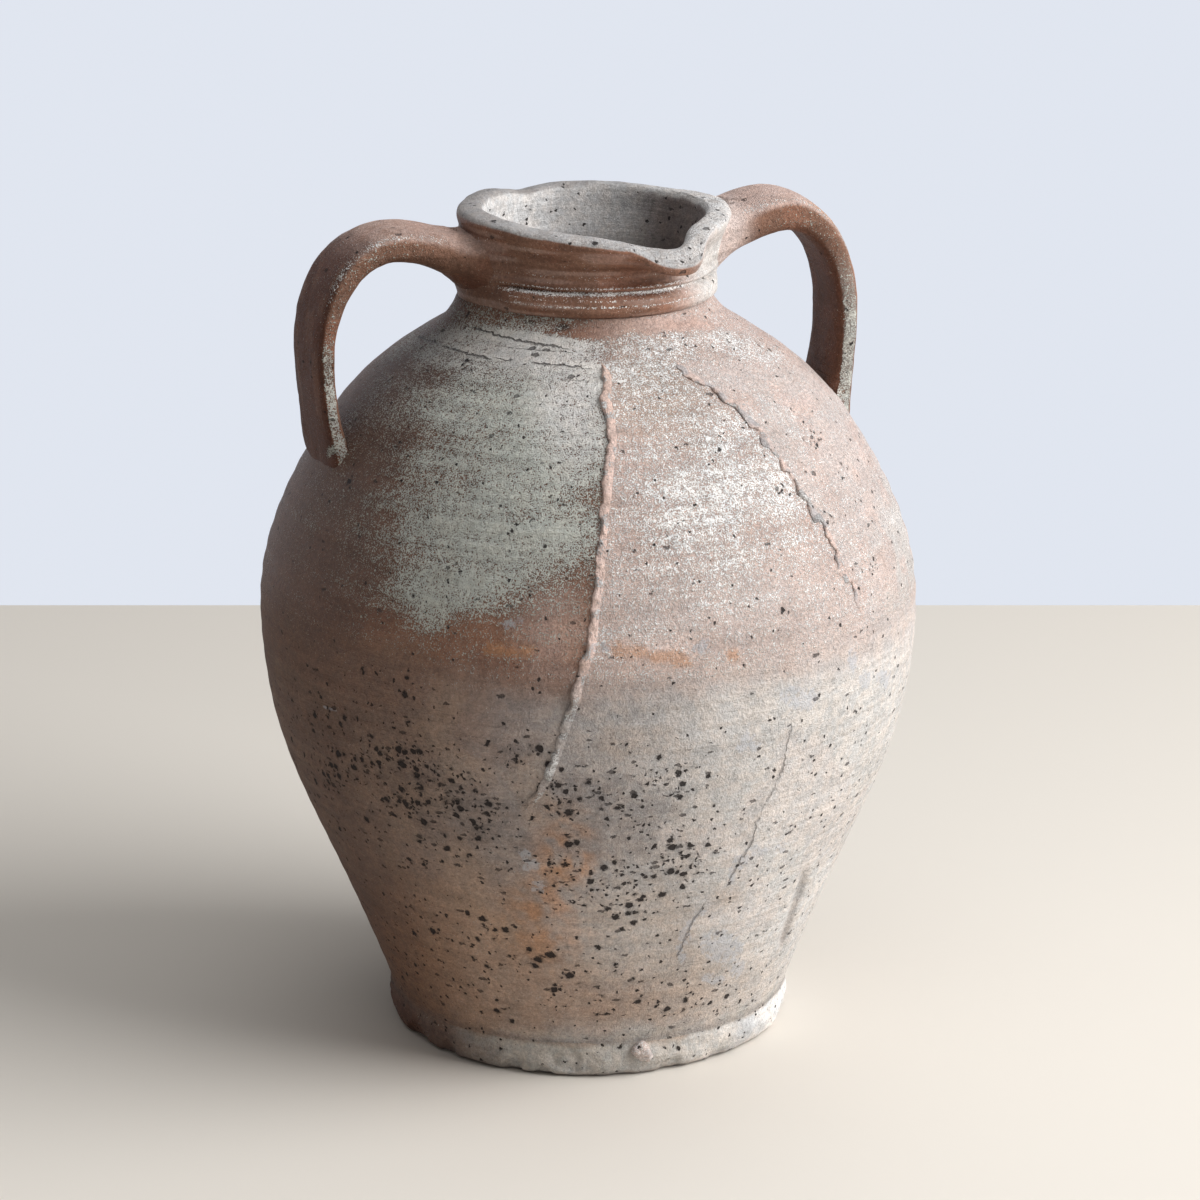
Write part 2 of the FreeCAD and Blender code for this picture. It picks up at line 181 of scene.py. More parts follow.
@dataclass(frozen=True)
class Viewpoint:
    """Camera that sees the jar as the photograph does, in a frame of 1200 by 1200 pixels.

    Lengths are in millimetres, apart from the clipping distance, which is in metres.
    """

    frame_px: float = 1200.0
    focal_px: float = 4600.0
    axis_px: float = 588.0
    pitch: float = math.radians(17.0)
    azimuth: float = math.radians(-21.5)
    distance: float = 1962.0
    height: float = 792.6
    sensor: float = 36.0
    clip_m: float = 50.0
    px_per_mm: float = 2.27

    @property
    def right(self) -> np.ndarray:
        """Direction to the right of the picture."""
        return np.array((math.cos(self.azimuth), math.sin(self.azimuth), 0.0))

    @property
    def ahead(self) -> np.ndarray:
        """Level direction from the camera to the jar."""
        return np.array((-math.sin(self.azimuth), math.cos(self.azimuth), 0.0))

    @property
    def sight(self) -> np.ndarray:
        """Direction in which the camera looks."""
        return self.ahead * math.cos(self.pitch) - UP * math.sin(self.pitch)

    @property
    def crown(self) -> np.ndarray:
        """Direction to the top of the picture."""
        return self.ahead * math.sin(self.pitch) + UP * math.cos(self.pitch)

    @property
    def place(self) -> np.ndarray:
        """Place of the camera in millimetres."""
        reach = self.distance / math.cos(self.pitch)
        aside = (self.frame_px / 2.0 - self.axis_px) * reach / self.focal_px
        return self.right * aside - self.ahead * self.distance + UP * self.height

    def turn(self, points: np.ndarray) -> np.ndarray:
        """Turn of points about the jar's axis from the camera's side, in degrees, more to the right."""
        return np.degrees(np.arctan2(points @ self.right, -(points @ self.ahead)))

    def project(self, points: np.ndarray) -> tuple[np.ndarray, np.ndarray]:
        """Finds where points lie in the picture.

        Args:
            points: Places in millimetres, one row each.

        Returns:
            Columns and rows in pixels of the 1200 by 1200 frame.
        """
        reach = points - self.place
        depth = reach @ self.sight
        middle = self.frame_px / 2.0
        return (middle + self.focal_px * (reach @ self.right) / depth,
                middle - self.focal_px * (reach @ self.crown) / depth)

    def ray(self, u: float, v: float) -> np.ndarray:
        """Direction from the camera through a pixel, one unit deep."""
        middle = self.frame_px / 2.0
        return self.sight + (self.right * (u - middle) - self.crown * (v - middle)) / self.focal_px

    def set_up(self) -> None:
        """Adds the camera and makes it the scene's."""
        data = bpy.data.cameras.new("viewpoint")
        data.sensor_width = self.sensor
        data.lens = self.focal_px * self.sensor / self.frame_px
        data.clip_end = self.clip_m
        camera = bpy.data.objects.new("viewpoint", data)
        camera.location = self.place * MM
        camera.rotation_euler = (math.pi / 2.0 - self.pitch, 0.0, self.azimuth)
        bpy.context.scene.collection.objects.link(camera)
        bpy.context.scene.camera = camera


VIEW = Viewpoint()


@dataclass(frozen=True)
class Patch:
    """Soft oval on the jar's seen side, in pixels of the photograph's frame, turned by degrees."""

    u: float
    v: float
    half_u: float
    half_v: float
    turn: float = 0.0
    soft: float = 0.45

    def share(self, u: np.ndarray, v: np.ndarray) -> np.ndarray:
        """Finds how much of the patch lies at each pixel.

        Args:
            u: Columns of the pixels.
            v: Rows of the pixels.

        Returns:
            Shares from 0 to 1.
        """
        cosine = math.cos(math.radians(self.turn))
        sine = math.sin(math.radians(self.turn))
        along = ((u - self.u) * cosine + (v - self.v) * sine) / self.half_u
        across = ((v - self.v) * cosine - (u - self.u) * sine) / self.half_v
        return smooth_step(1.0 + self.soft, 1.0 - self.soft, np.hypot(along, across))


Patches = tuple[Patch, ...]


@dataclass(frozen=True)
class Trail:
    """Line over the jar's seen side, in pixels of the photograph's frame, from its top down."""

    points: Outline

    def column(self, v: np.ndarray) -> np.ndarray:
        """Column of the trail at each row, for a trail that runs down the jar."""
        columns, rows = np.array(self.points).T
        return np.interp(v, rows, columns)

    def beside(self, u: np.ndarray, v: np.ndarray) -> tuple[np.ndarray, np.ndarray]:
        """Measures how far pixels lie from the trail.

        Args:
            u: Columns of the pixels.
            v: Rows of the pixels.

        Returns:
            Distances with a sign for the side, and plain distances, in pixels.
        """
        best = np.full(len(u), np.inf)
        signed = np.zeros(len(u))
        for (u0, v0), (u1, v1) in zip(self.points, self.points[1:]):
            run = np.array((u1 - u0, v1 - v0))
            along = np.clip(((u - u0) * run[0] + (v - v0) * run[1]) / (run @ run), 0.0, 1.0)
            gap_u, gap_v = u - u0 - along * run[0], v - v0 - along * run[1]
            gap = np.hypot(gap_u, gap_v)
            side = np.sign(gap_u * run[1] - gap_v * run[0])
            nearer = gap < best
            best = np.where(nearer, gap, best)
            signed = np.where(nearer, gap * side, signed)
        return signed, best


class Chart:
    """Where a piece's vertices lie in the photograph's frame, for glazing by patches.

    The edges of patches wander by a wide and a fine stray, each with its reach in pixels and its size in
    millimetres.
    """

    WIDE_STRAY = (7.0, 22.0)
    FINE_STRAY = (4.0, 8.0)
    LEAST_RADIUS = 80.0

    def __init__(self, points: np.ndarray) -> None:
        """Charts vertices.

        Args:
            points: Their places in millimetres.
        """
        self.points = points
        self.u, self.v = VIEW.project(points)
        self.around = from_axis(points) + TINY
        self.seen = smooth_step(-0.1, 0.3, -(points @ VIEW.ahead) / self.around)
        self.stray_u = self.u + self.stray(11)
        self.stray_v = self.v + self.stray(13)

    def stray(self, seed: int) -> np.ndarray:
        """Wandering of the vertices in the frame, in pixels."""
        strays = (self.WIDE_STRAY, self.FINE_STRAY)
        return sum(reach * ripple(self.points, size, seed + at) for at, (reach, size) in enumerate(strays))

    def spread(self, *patches: Patch) -> np.ndarray:
        """Largest share that any of the patches has at each vertex, with wandering edges."""
        return np.max([patch.share(self.stray_u, self.stray_v) for patch in patches], axis=0)

    def ragged(self, *patches: Patch, size: float = 5.0) -> np.ndarray:
        """Breaks patches up into flakes.

        Args:
            patches: Patches to break up.
            size: Width of the larger flakes in millimetres.

        Returns:
            Share of the broken patches at each vertex.
        """
        spread = self.spread(*patches)
        flakes = 0.5 * ripple(self.points, size, 15) + 0.4 * ripple(self.points, size * 0.45, 16)
        return smooth_step(0.35, 0.7, spread + flakes) * smooth_step(0.0, 0.15, spread)

    @property
    def shaded(self) -> np.ndarray:
        """Share of the darker left side at each vertex, from the middle to the left edge: partly dark clay
        and partly painted shade.
        """
        reach = VIEW.px_per_mm * np.maximum(self.around, self.LEAST_RADIUS)
        return smooth_step(0.36, 0.9, (VIEW.axis_px - self.stray_u) / reach)


@dataclass
class Glaze:
    """What the kiln left on a piece, one row or value for each of its vertices.

    A scored line holds the distance of each vertex from it in pixels, with a sign for the side.
    """

    UNSCORED_PX: ClassVar[float] = 9.0
    LINE_CORE_PX: ClassVar[float] = 9.0
    LINE_REACH_PX: ClassVar[float] = 14.0

    clay: np.ndarray
    frost: np.ndarray
    cover: np.ndarray
    pit: np.ndarray
    matt: np.ndarray
    line: np.ndarray
    trace: np.ndarray
    flake: np.ndarray

    @classmethod
    def plain(cls, count: int, clay: Clay, frost: Clay, cover: float, pit: float, matt: float) -> "Glaze":
        """Makes an even glaze.

        Args:
            count: Number of vertices.
            clay: Colour of the body.
            frost: Colour of the flecks on it.
            cover: Share of the body that the flecks hide.
            pit: Share of the cells that hold a pit.
            matt: 0 for glazed and 1 for bare.

        Returns:
            The glaze.
        """
        return cls(
            clay=np.tile(clay.linear, (count, 1)), frost=np.tile(frost.linear, (count, 1)),
            cover=np.full(count, cover), pit=np.full(count, pit), matt=np.full(count, matt),
            line=np.full(count, cls.UNSCORED_PX), trace=np.zeros(count), flake=np.zeros(count))

    def stain(self, colour: Clay, share: np.ndarray) -> None:
        """Turns the clay towards a colour by a share at each vertex."""
        self.clay += (colour.linear - self.clay) * np.asarray(share)[:, None]

    def bloom(self, colour: Clay, share: np.ndarray) -> None:
        """Turns the frost towards a colour by a share at each vertex."""
        self.frost += (colour.linear - self.frost) * np.asarray(share)[:, None]

    def coat(self, cover: float, share: np.ndarray) -> None:
        """Brings the frost's cover towards a value by a share at each vertex."""
        self.cover += (cover - self.cover) * share

    def pock(self, density: float, share: np.ndarray) -> None:
        """Brings the density of pits towards a value by a share at each vertex."""
        self.pit += (density - self.pit) * share

    def bare(self, matt: float, share: np.ndarray) -> None:
        """Brings the bareness towards a value by a share at each vertex."""
        self.matt += (matt - self.matt) * share

    def scratch(self, trail: Trail, chart: Chart, strength: float) -> None:
        """Marks a fine line on the seen side.

        Args:
            trail: Way of the line.
            chart: Chart of the piece's vertices.
            strength: How dark the line is, from 0 to 1.
        """
        signed, gap = trail.beside(chart.u, chart.v)
        near = (gap < self.LINE_REACH_PX) & (chart.seen > 0.5)
        fade = smooth_step(self.LINE_REACH_PX, self.LINE_CORE_PX, gap)
        self.line = np.where(near, signed, self.line)
        self.trace = np.where(near, strength * fade, self.trace)

    def store(self, piece: bpy.types.Object) -> None:
        """Writes the glaze to a piece as attributes that its finish reads.

        Args:
            piece: The piece whose vertices were glazed.
        """
        for name in ("clay", "frost"):
            rows = getattr(self, name)
            colours = np.column_stack((np.clip(rows, 0.0, 1.0), np.ones(len(rows))))
            layer = piece.data.attributes.new(name, "FLOAT_COLOR", "POINT")
            layer.data.foreach_set("color", colours.astype(np.float32).ravel())
        for name in ("cover", "pit", "matt", "line", "trace", "flake"):
            layer = piece.data.attributes.new(name, "FLOAT", "POINT")
            layer.data.foreach_set("value", getattr(self, name).astype(np.float32))


class Modeller:
    """Ways of working a mesh that the pieces share."""

    INWARD = -0.35

    @staticmethod
    def loft(name: str, rings: list[np.ndarray]) -> bpy.types.Object:
        """Models a skin over rings of points by extruding a circle from ring to ring.

        Args:
            name: Name of the new piece.
            rings: Equal counts of points in millimetres; rings that meet are merged.

        Returns:
            The piece, in object mode and the only one selected.
        """
        bpy.ops.object.select_all(action="DESELECT")
        bpy.ops.mesh.primitive_circle_add(vertices=len(rings[0]), radius=1.0)
        piece = bpy.context.object
        piece.name = piece.data.name = name
        bpy.ops.object.mode_set(mode="EDIT")
        shell = bmesh.from_edit_mesh(piece.data)
        column = shell.verts.layers.int.new("column")
        for count, vertex in enumerate(shell.verts):
            vertex[column] = count
            vertex.co = rings[0][count] * MM
        bpy.ops.mesh.select_all(action="SELECT")
        for ring in rings[1:]:
            bpy.ops.mesh.extrude_region_move()
            shell = bmesh.from_edit_mesh(piece.data)
            column = shell.verts.layers.int["column"]
            for vertex in shell.verts:
                if vertex.select:
                    vertex.co = ring[vertex[column]] * MM
        bmesh.update_edit_mesh(piece.data)
        bpy.ops.mesh.select_all(action="SELECT")
        bpy.ops.mesh.remove_doubles(threshold=MERGE_M)
        bpy.ops.mesh.normals_make_consistent(inside=False)
        bpy.ops.object.mode_set(mode="OBJECT")
        piece.data.attributes.remove(piece.data.attributes["column"])
        return piece

    @staticmethod
    def refine(piece: bpy.types.Object, levels: int) -> None:
        """Rounds a piece with a subdivision surface and applies it.

        Args:
            piece: The piece.
            levels: How many times each face is divided.
        """
        bpy.context.view_layer.objects.active = piece
        bpy.ops.object.modifier_add(type="SUBSURF")
        rounding = piece.modifiers[-1]
        rounding.levels = rounding.render_levels = levels
        bpy.ops.object.modifier_apply(modifier=rounding.name)
        bpy.ops.object.shade_smooth()

    @staticmethod
    def points(piece: bpy.types.Object) -> np.ndarray:
        """Reads a piece's vertices.

        Args:
            piece: The piece.

        Returns:
            Their places in millimetres, one row each.
        """
        flat = np.zeros(len(piece.data.vertices) * 3)
        piece.data.vertices.foreach_get("co", flat)
        return flat.reshape(-1, 3) / MM

    @staticmethod
    def normals(piece: bpy.types.Object) -> np.ndarray:
        """Reads the directions that a piece's vertices face.

        Args:
            piece: The piece.

        Returns:
            Directions of length 1, one row each.
        """
        flat = np.zeros(len(piece.data.vertices) * 3)
        piece.data.vertex_normals.foreach_get("vector", flat)
        return flat.reshape(-1, 3)

    @staticmethod
    def place(piece: bpy.types.Object, points: np.ndarray) -> None:
        """Moves a piece's vertices to places in millimetres."""
        piece.data.vertices.foreach_set("co", (points * MM).ravel())
        piece.data.update()

    @classmethod
    def weld(cls, first: bpy.types.Object, second: bpy.types.Object, width: float) -> None:
        """Rounds the crease between two pieces by swelling each one near the other.

        Args:
            first: One piece.
            second: The other piece.
            width: Distance over which each swells, in millimetres; faces that look at the axis stay.
        """
        swollen = []
        for piece, other in ((first, second), (second, first)):
            points, limits = cls.points(piece), cls.points(other)
            normals = cls.normals(piece)
            low, high = limits.min(axis=0) - width, limits.max(axis=0) + width
            near = np.all((points > low) & (points < high), axis=1)
            near &= outwardness(points, normals) > cls.INWARD
            gaps = np.full(len(points), width)
            for index in np.flatnonzero(near):
                found, place, _, _ = other.closest_point_on_mesh(points[index] * MM, distance=width * MM)
                if found:
                    gaps[index] = np.linalg.norm(np.array(place) / MM - points[index])
            swell = (width - np.minimum(gaps, width)) ** 2 / (4.0 * width)
            swollen.append(points + normals * swell[:, None])
        cls.place(first, swollen[0])
        cls.place(second, swollen[1])

    @staticmethod
    def turned(profile: Outline, columns: int) -> list[np.ndarray]:
        """Rings of a turned form.

        Args:
            profile: Radius and height of each ring in millimetres.
            columns: Points in each ring.

        Returns:
            The rings, whose first point lies towards -Y.
        """
        turns = np.arange(columns) * FULL_TURN / columns
        circle = np.column_stack((np.sin(turns), -np.cos(turns), np.zeros(columns)))
        return [circle * radius + UP * height for radius, height in profile]

    @staticmethod
    def capped(rings: list[np.ndarray]) -> list[np.ndarray]:
        """Closes rings to a point at both ends."""
        tips = [np.tile(ring.mean(axis=0), (len(ring), 1)) for ring in (rings[0], rings[-1])]
        return [tips[0], *rings, tips[1]]

    @staticmethod
    def mount(piece: bpy.types.Object, slot: str, nodes: tuple[str, ...],
              finish: bpy.types.Material) -> None:
        """Gives a piece its finish and sets it in the frame in place of its solids.

        Args:
            piece: The finished piece.
            slot: Material slot of the record; not used.
            nodes: Solids that the piece stands for.
            finish: Material of the piece.
        """
        piece.data.materials.clear()
        piece.data.materials.append(finish)
        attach(piece, BODY)
        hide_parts(*nodes)
        log.info("%s: %d faces", piece.name, len(piece.data.polygons))


class Value:
    """A shader socket that takes part in sums."""

    def __init__(self, graph: "Graph", socket: bpy.types.NodeSocket) -> None:
        """Wraps a socket of a graph."""
        self.graph = graph
        self.socket = socket

    def _sum(self, operation: str, first: object, second: object) -> "Value":
        """Adds a Math node on two values."""
        return self.graph.value("ShaderNodeMath", {"operation": operation}, {0: first, 1: second}, 0)

    def __add__(self, other: object) -> "Value":
        """Adds another value or number."""
        return self._sum("ADD", self, other)

    __radd__ = __add__

    def __sub__(self, other: object) -> "Value":
        """Takes another value or number away."""
        return self._sum("SUBTRACT", self, other)

    def __rsub__(self, other: object) -> "Value":
        """Takes this value away from a number."""
        return self._sum("SUBTRACT", other, self)

    def __mul__(self, other: object) -> "Value":
        """Multiplies by another value or number."""
        return self._sum("MULTIPLY", self, other)

    __rmul__ = __mul__

    def __lt__(self, other: object) -> "Value":
        """Gives 1 where this value is the smaller and 0 elsewhere."""
        return self._sum("LESS_THAN", self, other)

    def __abs__(self) -> "Value":
        """Drops the sign."""
        return self._sum("ABSOLUTE", self, 0.0)

    def over(self, other: object) -> "Value":
        """Keeps the larger of two values."""
        return self._sum("MAXIMUM", self, other)

    def ease(self, low: object, high: object) -> "Value":
        """Eases from 0 at low to 1 at high."""
        return self.graph.value("ShaderNodeMapRange", {"interpolation_type": "SMOOTHSTEP"},
                                {"Value": self, "From Min": low, "From Max": high}, "Result")


class Graph:
    """Node tree of a material or of the world."""

    MIX_SHARE = 0
    MIX_FIRST_COLOUR = 6
    MIX_SECOND_COLOUR = 7
    MIX_COLOUR = 2

    def __init__(self, tree: bpy.types.NodeTree) -> None:
        """Empties a tree and starts on it."""
        self.tree = tree
        self.tree.nodes.clear()

    def node(self, kind: str, settings: dict, sockets: dict) -> bpy.types.Node:
        """Adds a node.

        Args:
            kind: Blender's type name of the node.
            settings: Properties that are set before the sockets.
            sockets: Numbers, colours or Values for the inputs, by name or number.

        Returns:
            The node.
        """
        made = self.tree.nodes.new(kind)
        for name, setting in settings.items():
            setattr(made, name, setting)
        for name, given in sockets.items():
            if isinstance(given, Value):
                self.tree.links.new(given.socket, made.inputs[name])
            else:
                made.inputs[name].default_value = given
        return made

    def value(self, kind: str, settings: dict, sockets: dict, output: str | int) -> Value:
        """Adds a node and wraps one of its outputs."""
        return Value(self, self.node(kind, settings, sockets).outputs[output])

    def attribute(self, name: str, output: str = "Fac") -> Value:
        """Reads an attribute of the piece."""
        return self.value("ShaderNodeAttribute", {"attribute_name": name}, {}, output)

    def grain(self, coords: Value, scale: float, detail: float, rough: float = 0.6,
              output: str = "Fac") -> Value:
        """Noise of about 0 to 1 over coordinates."""
        sockets = {"Vector": coords, "Scale": scale, "Detail": detail, "Roughness": rough}
        return self.value("ShaderNodeTexNoise", {}, sockets, output)

    def blend(self, share: object, first: object, second: object, way: str = "MIX") -> Value:
        """Blends two colours."""
        sockets = {self.MIX_SHARE: share, self.MIX_FIRST_COLOUR: first, self.MIX_SECOND_COLOUR: second}
        return self.value("ShaderNodeMix", {"data_type": "RGBA", "blend_type": way}, sockets, self.MIX_COLOUR)

    def vector(self, operation: str, sockets: dict) -> Value:
        """Works on vectors or colours."""
        return self.value("ShaderNodeVectorMath", {"operation": operation}, sockets, "Vector")


@dataclass(frozen=True)
class Grains:
    """Noises on a piece that its finish uses in more than one place."""

    coords: Value
    fine: Value
    coarse: Value
    blotch: Value
    rings: Value
    specks: Value


@dataclass(frozen=True)
class StonewareFinish:
    """Fired stoneware that reads its colours, flecks, pits and lines from a piece's glaze.

    Lengths are in metres and scales are repeats in a metre. A field whose name ends in tone is the share by
    which a noise or a mark changes the colour, and one that ends in rise or depth does so for the relief.
    """

    name: str
    gloss_roughness: float = 0.46
    matt_roughness: float = 0.78
    sheen: float = 0.24
    relief: float = 0.0019
    fine_scale: float = 1600.0
    coarse_scale: float = 430.0
    blotch_scale: float = 58.0
    hue_scale: float = 150.0
    rust_scale: float = 760.0
    ring_scale: tuple[float, float, float] = (11.0, 11.0, 240.0)
    large_pit_scale: float = 225.0
    small_pit_scale: float = 470.0
    dash_scale: float = 215.0
    dash_flatness: float = 2.3
    dash_strength: float = 0.75
    large_pit_share: float = 1.25
    large_pit_start: float = 0.16
    small_pit_share: float = 0.6
    dash_share: float = 0.35
    wander_scale: float = 560.0
    wander: float = 0.0026
    pit_reach: float = 0.19
    pit_growth: float = 0.28
    pit_edge: float = 0.7
    pit_halo: float = 1.9
    fine_share: float = 0.78
    crispness: float = 2.6
    frost_edge: tuple[float, float] = (0.41, 0.59)
    ring_cover: float = 0.32
    blotch_cover: float = 0.22
    rust_edge: tuple[float, float] = (0.4, 0.6)
    hue_edge: tuple[float, float] = (0.38, 0.62)
    flake_edge: tuple[float, float] = (0.7, 1.0)
    line_wander: float = 7.0
    line_edge: tuple[float, float] = (1.3, 0.3)
    line_breaks: tuple[float, float] = (0.34, 0.52)
    mottle: float = 0.6
    coarse_tone: float = 0.75
    fine_tone: float = 0.85
    ring_tone: float = 0.5
    hue_tone: float = 0.12
    flake_tone: float = 0.5
    halo_tone: float = 0.3
    pit_tone: float = 0.93
    line_tone: float = 0.8
    speck_rise: float = 0.5
    coarse_rise: float = 0.35
    frost_rise: float = 0.3
    ring_rise: float = 0.8
    pit_depth: float = 1.3
    line_depth: float = 1.4
    coarse_roughness: float = 0.25
    frost_smoothness: float = 0.05
    pit_roughness: float = 0.2
    warm: Colour = (1.04, 0.99, 0.96, 1.0)
    cool: Colour = (0.97, 0.995, 1.03, 1.0)
    burnt: Colour = (0.83, 0.8, 0.79, 1.0)
    ruddy: Colour = (1.14, 1.12, 1.11, 1.0)
    soot: Colour = (0.021, 0.016, 0.015, 1.0)
    slate: Colour = (0.5, 0.52, 0.57, 1.0)

    def grains(self, graph: Graph) -> Grains:
        """Adds the shared noises.

        Args:
            graph: Material's graph.

        Returns:
            The noises.
        """
        coords = graph.value("ShaderNodeTexCoord", {}, {}, "Object")
        stretched = graph.value(
            "ShaderNodeMapping", {}, {"Vector": coords, "Scale": self.ring_scale}, "Vector")
        fine = graph.grain(coords, self.fine_scale, 2.0)
        coarse = graph.grain(coords, self.coarse_scale, 3.0)
        blotch = graph.grain(coords, self.blotch_scale, 4.0, 0.65)
        rings = graph.grain(stretched, 1.0, 3.0)
        specks = fine * self.fine_share + coarse * (1.0 - self.fine_share)
        return Grains(coords, fine, coarse, blotch, rings, specks)

    def pitted_cells(self, graph: Graph, coords: Value, density: Value, scale: float) -> tuple[Value, Value]:
        """Marks pits in a share of cells that follows the density.

        Args:
            graph: Material's graph.
            coords: Coordinates on the piece, already bent.
            density: Share of cells that hold a pit.
            scale: Cells in a metre.

        Returns:
            1 in a pit and 0 outside, and a wider soft halo round it.
        """
        cells = graph.node("ShaderNodeTexVoronoi", {}, {"Vector": coords, "Scale": scale})
        chance = graph.node("ShaderNodeSeparateColor", {}, {"Color": Value(graph, cells.outputs["Color"])})
        reach = Value(graph, chance.outputs["Green"]) * self.pit_growth + self.pit_reach
        held = Value(graph, chance.outputs["Red"]) < density
        gap = Value(graph, cells.outputs["Distance"])
        core = reach * self.pit_edge
        return held * gap.ease(reach, core), held * gap.ease(reach * self.pit_halo, core)

    def pits(self, graph: Graph, grains: Grains) -> tuple[Value, Value]:
        """Marks large pits, small pits and flat dashes.

        Args:
            graph: Material's graph.
            grains: Its noises.

        Returns:
            1 in a pit and 0 outside, and a soft halo round the large ones.
        """
        wander = graph.grain(grains.coords, self.wander_scale, 2.0, output="Color")
        bent = graph.vector("MULTIPLY_ADD", {0: wander, 1: (self.wander,) * 3, 2: grains.coords})
        flat = graph.vector("MULTIPLY", {0: bent, 1: (1.0, 1.0, self.dash_flatness)})
        density = graph.attribute("pit")
        often = density * self.large_pit_share - self.large_pit_start
        large, halo = self.pitted_cells(graph, bent, often, self.large_pit_scale)
        small, _ = self.pitted_cells(graph, bent, density * self.small_pit_share, self.small_pit_scale)
        dashes, _ = self.pitted_cells(graph, flat, density * self.dash_share, self.dash_scale)
        return large.over(small).over(dashes * self.dash_strength), halo

    def fired(self, graph: Graph, grains: Grains, frosted: Value, matt: Value) -> Value:
        """Colours the clay, the flecks and the flakes on it.

        Args:
            graph: Material's graph.
            grains: Its noises.
            frosted: 1 on a fleck and 0 beside it.
            matt: 0 for glazed and 1 for bare.

        Returns:
            The colour before pits and lines.
        """
        rust = graph.grain(grains.coords, self.rust_scale, 3.0).ease(*self.rust_edge)
        rusty = graph.blend(rust, self.burnt, self.ruddy)
        clay = graph.blend(0.9 - matt * 0.45, graph.attribute("clay", "Color"), rusty, "MULTIPLY")
        colour = graph.blend(frosted, clay, graph.attribute("frost", "Color"))
        warmth = graph.grain(grains.coords, self.hue_scale, 4.0, 0.7).ease(*self.hue_edge)
        tint = graph.blend(warmth, self.cool, self.warm)
        tinted = graph.blend(0.35 + matt * 0.4, colour, tint, "MULTIPLY")
        tone = (1.0 + (grains.blotch - 0.5) * self.mottle + (grains.coarse - 0.5) * self.coarse_tone
                + (grains.fine - 0.5) * self.fine_tone + (grains.rings - 0.5) * self.ring_tone
                + (warmth - 0.5) * matt * self.hue_tone)
        toned = graph.vector("SCALE", {0: tinted, "Scale": tone})
        flaked = (graph.attribute("flake") * grains.coarse * 2.0).ease(*self.flake_edge)
        return graph.blend(flaked * self.flake_tone, toned, self.slate)

    def build(self) -> bpy.types.Material:
        """Makes the material.

        Returns:
            The finished material.
        """
        material = bpy.data.materials.new(self.name)
        material.use_nodes = True
        graph = Graph(material.node_tree)
        grains = self.grains(graph)
        matt = graph.attribute("matt")
        cover = (graph.attribute("cover") + (grains.rings - 0.5) * self.ring_cover
                 + (grains.blotch - 0.5) * self.blotch_cover)
        frosted = (cover + (grains.specks - 0.5) * self.crispness).ease(*self.frost_edge)
        pits, halo = self.pits(graph, grains)
        wavering = graph.attribute("line") + (grains.coarse - 0.5) * self.line_wander
        broken = graph.attribute("trace") * grains.blotch.ease(*self.line_breaks)
        scored = abs(wavering).ease(*self.line_edge) * broken

        fired = self.fired(graph, grains, frosted, matt)
        haloed = graph.blend(halo * self.halo_tone, fired, self.soot)
        pitted = graph.blend(pits * self.pit_tone, haloed, self.soot)
        marked = graph.blend(scored * self.line_tone, pitted, self.soot)

        height = (grains.specks * self.speck_rise + grains.coarse * self.coarse_rise
                  + frosted * self.frost_rise + grains.rings * self.ring_rise
                  - pits * self.pit_depth - scored * self.line_depth)
        bump = graph.value("ShaderNodeBump", {}, {"Distance": self.relief, "Height": height}, "Normal")
        rough = (self.gloss_roughness + matt * (self.matt_roughness - self.gloss_roughness)
                 + (grains.coarse - 0.5) * self.coarse_roughness - frosted * self.frost_smoothness
                 + pits * self.pit_roughness)
        sockets = {"Base Color": marked, "Roughness": rough, "Normal": bump,
                   "Specular IOR Level": self.sheen}
        surface = graph.value("ShaderNodeBsdfPrincipled", {}, sockets, "BSDF")
        graph.node("ShaderNodeOutputMaterial", {}, {"Surface": surface})
        return material


@dataclass(frozen=True)
class RootWeb:
    """Clay smoothed out below the handle roots, each with its turn in degrees and its rise in millimetres."""

    roots: Outline = ((-73.0, 6.5), (116.0, 3.0))
    half: float = 25.0

    def shares(self, points: np.ndarray) -> list[np.ndarray]:
        """Share of each root at places given in millimetres."""
        turn = VIEW.turn(points)
        return [bell(turn_gap(turn, root), self.half) for root, _ in self.roots]

    def rise(self, points: np.ndarray) -> np.ndarray:
        """How far the clay stands out at places, in millimetres."""
        return sum(share * rise for share, (_, rise) in zip(self.shares(points), self.roots))


WEB = RootWeb()


@dataclass(frozen=True)
class Regions:
    """Shares of the wall's differently glazed parts at each vertex.

    The upper half is glazed, and runs part it into a left part, a right part and one beyond the right run.
    The height is in millimetres and as ragged as the glaze's lower border.
    """

    height: np.ndarray
    upper: np.ndarray
    right: np.ndarray
    beyond: np.ndarray

    @property
    def lower(self) -> np.ndarray:
        """The barer lower half."""
        return 1.0 - self.upper

    @property
    def left(self) -> np.ndarray:
        """All that lies left of the front run."""
        return 1.0 - self.right


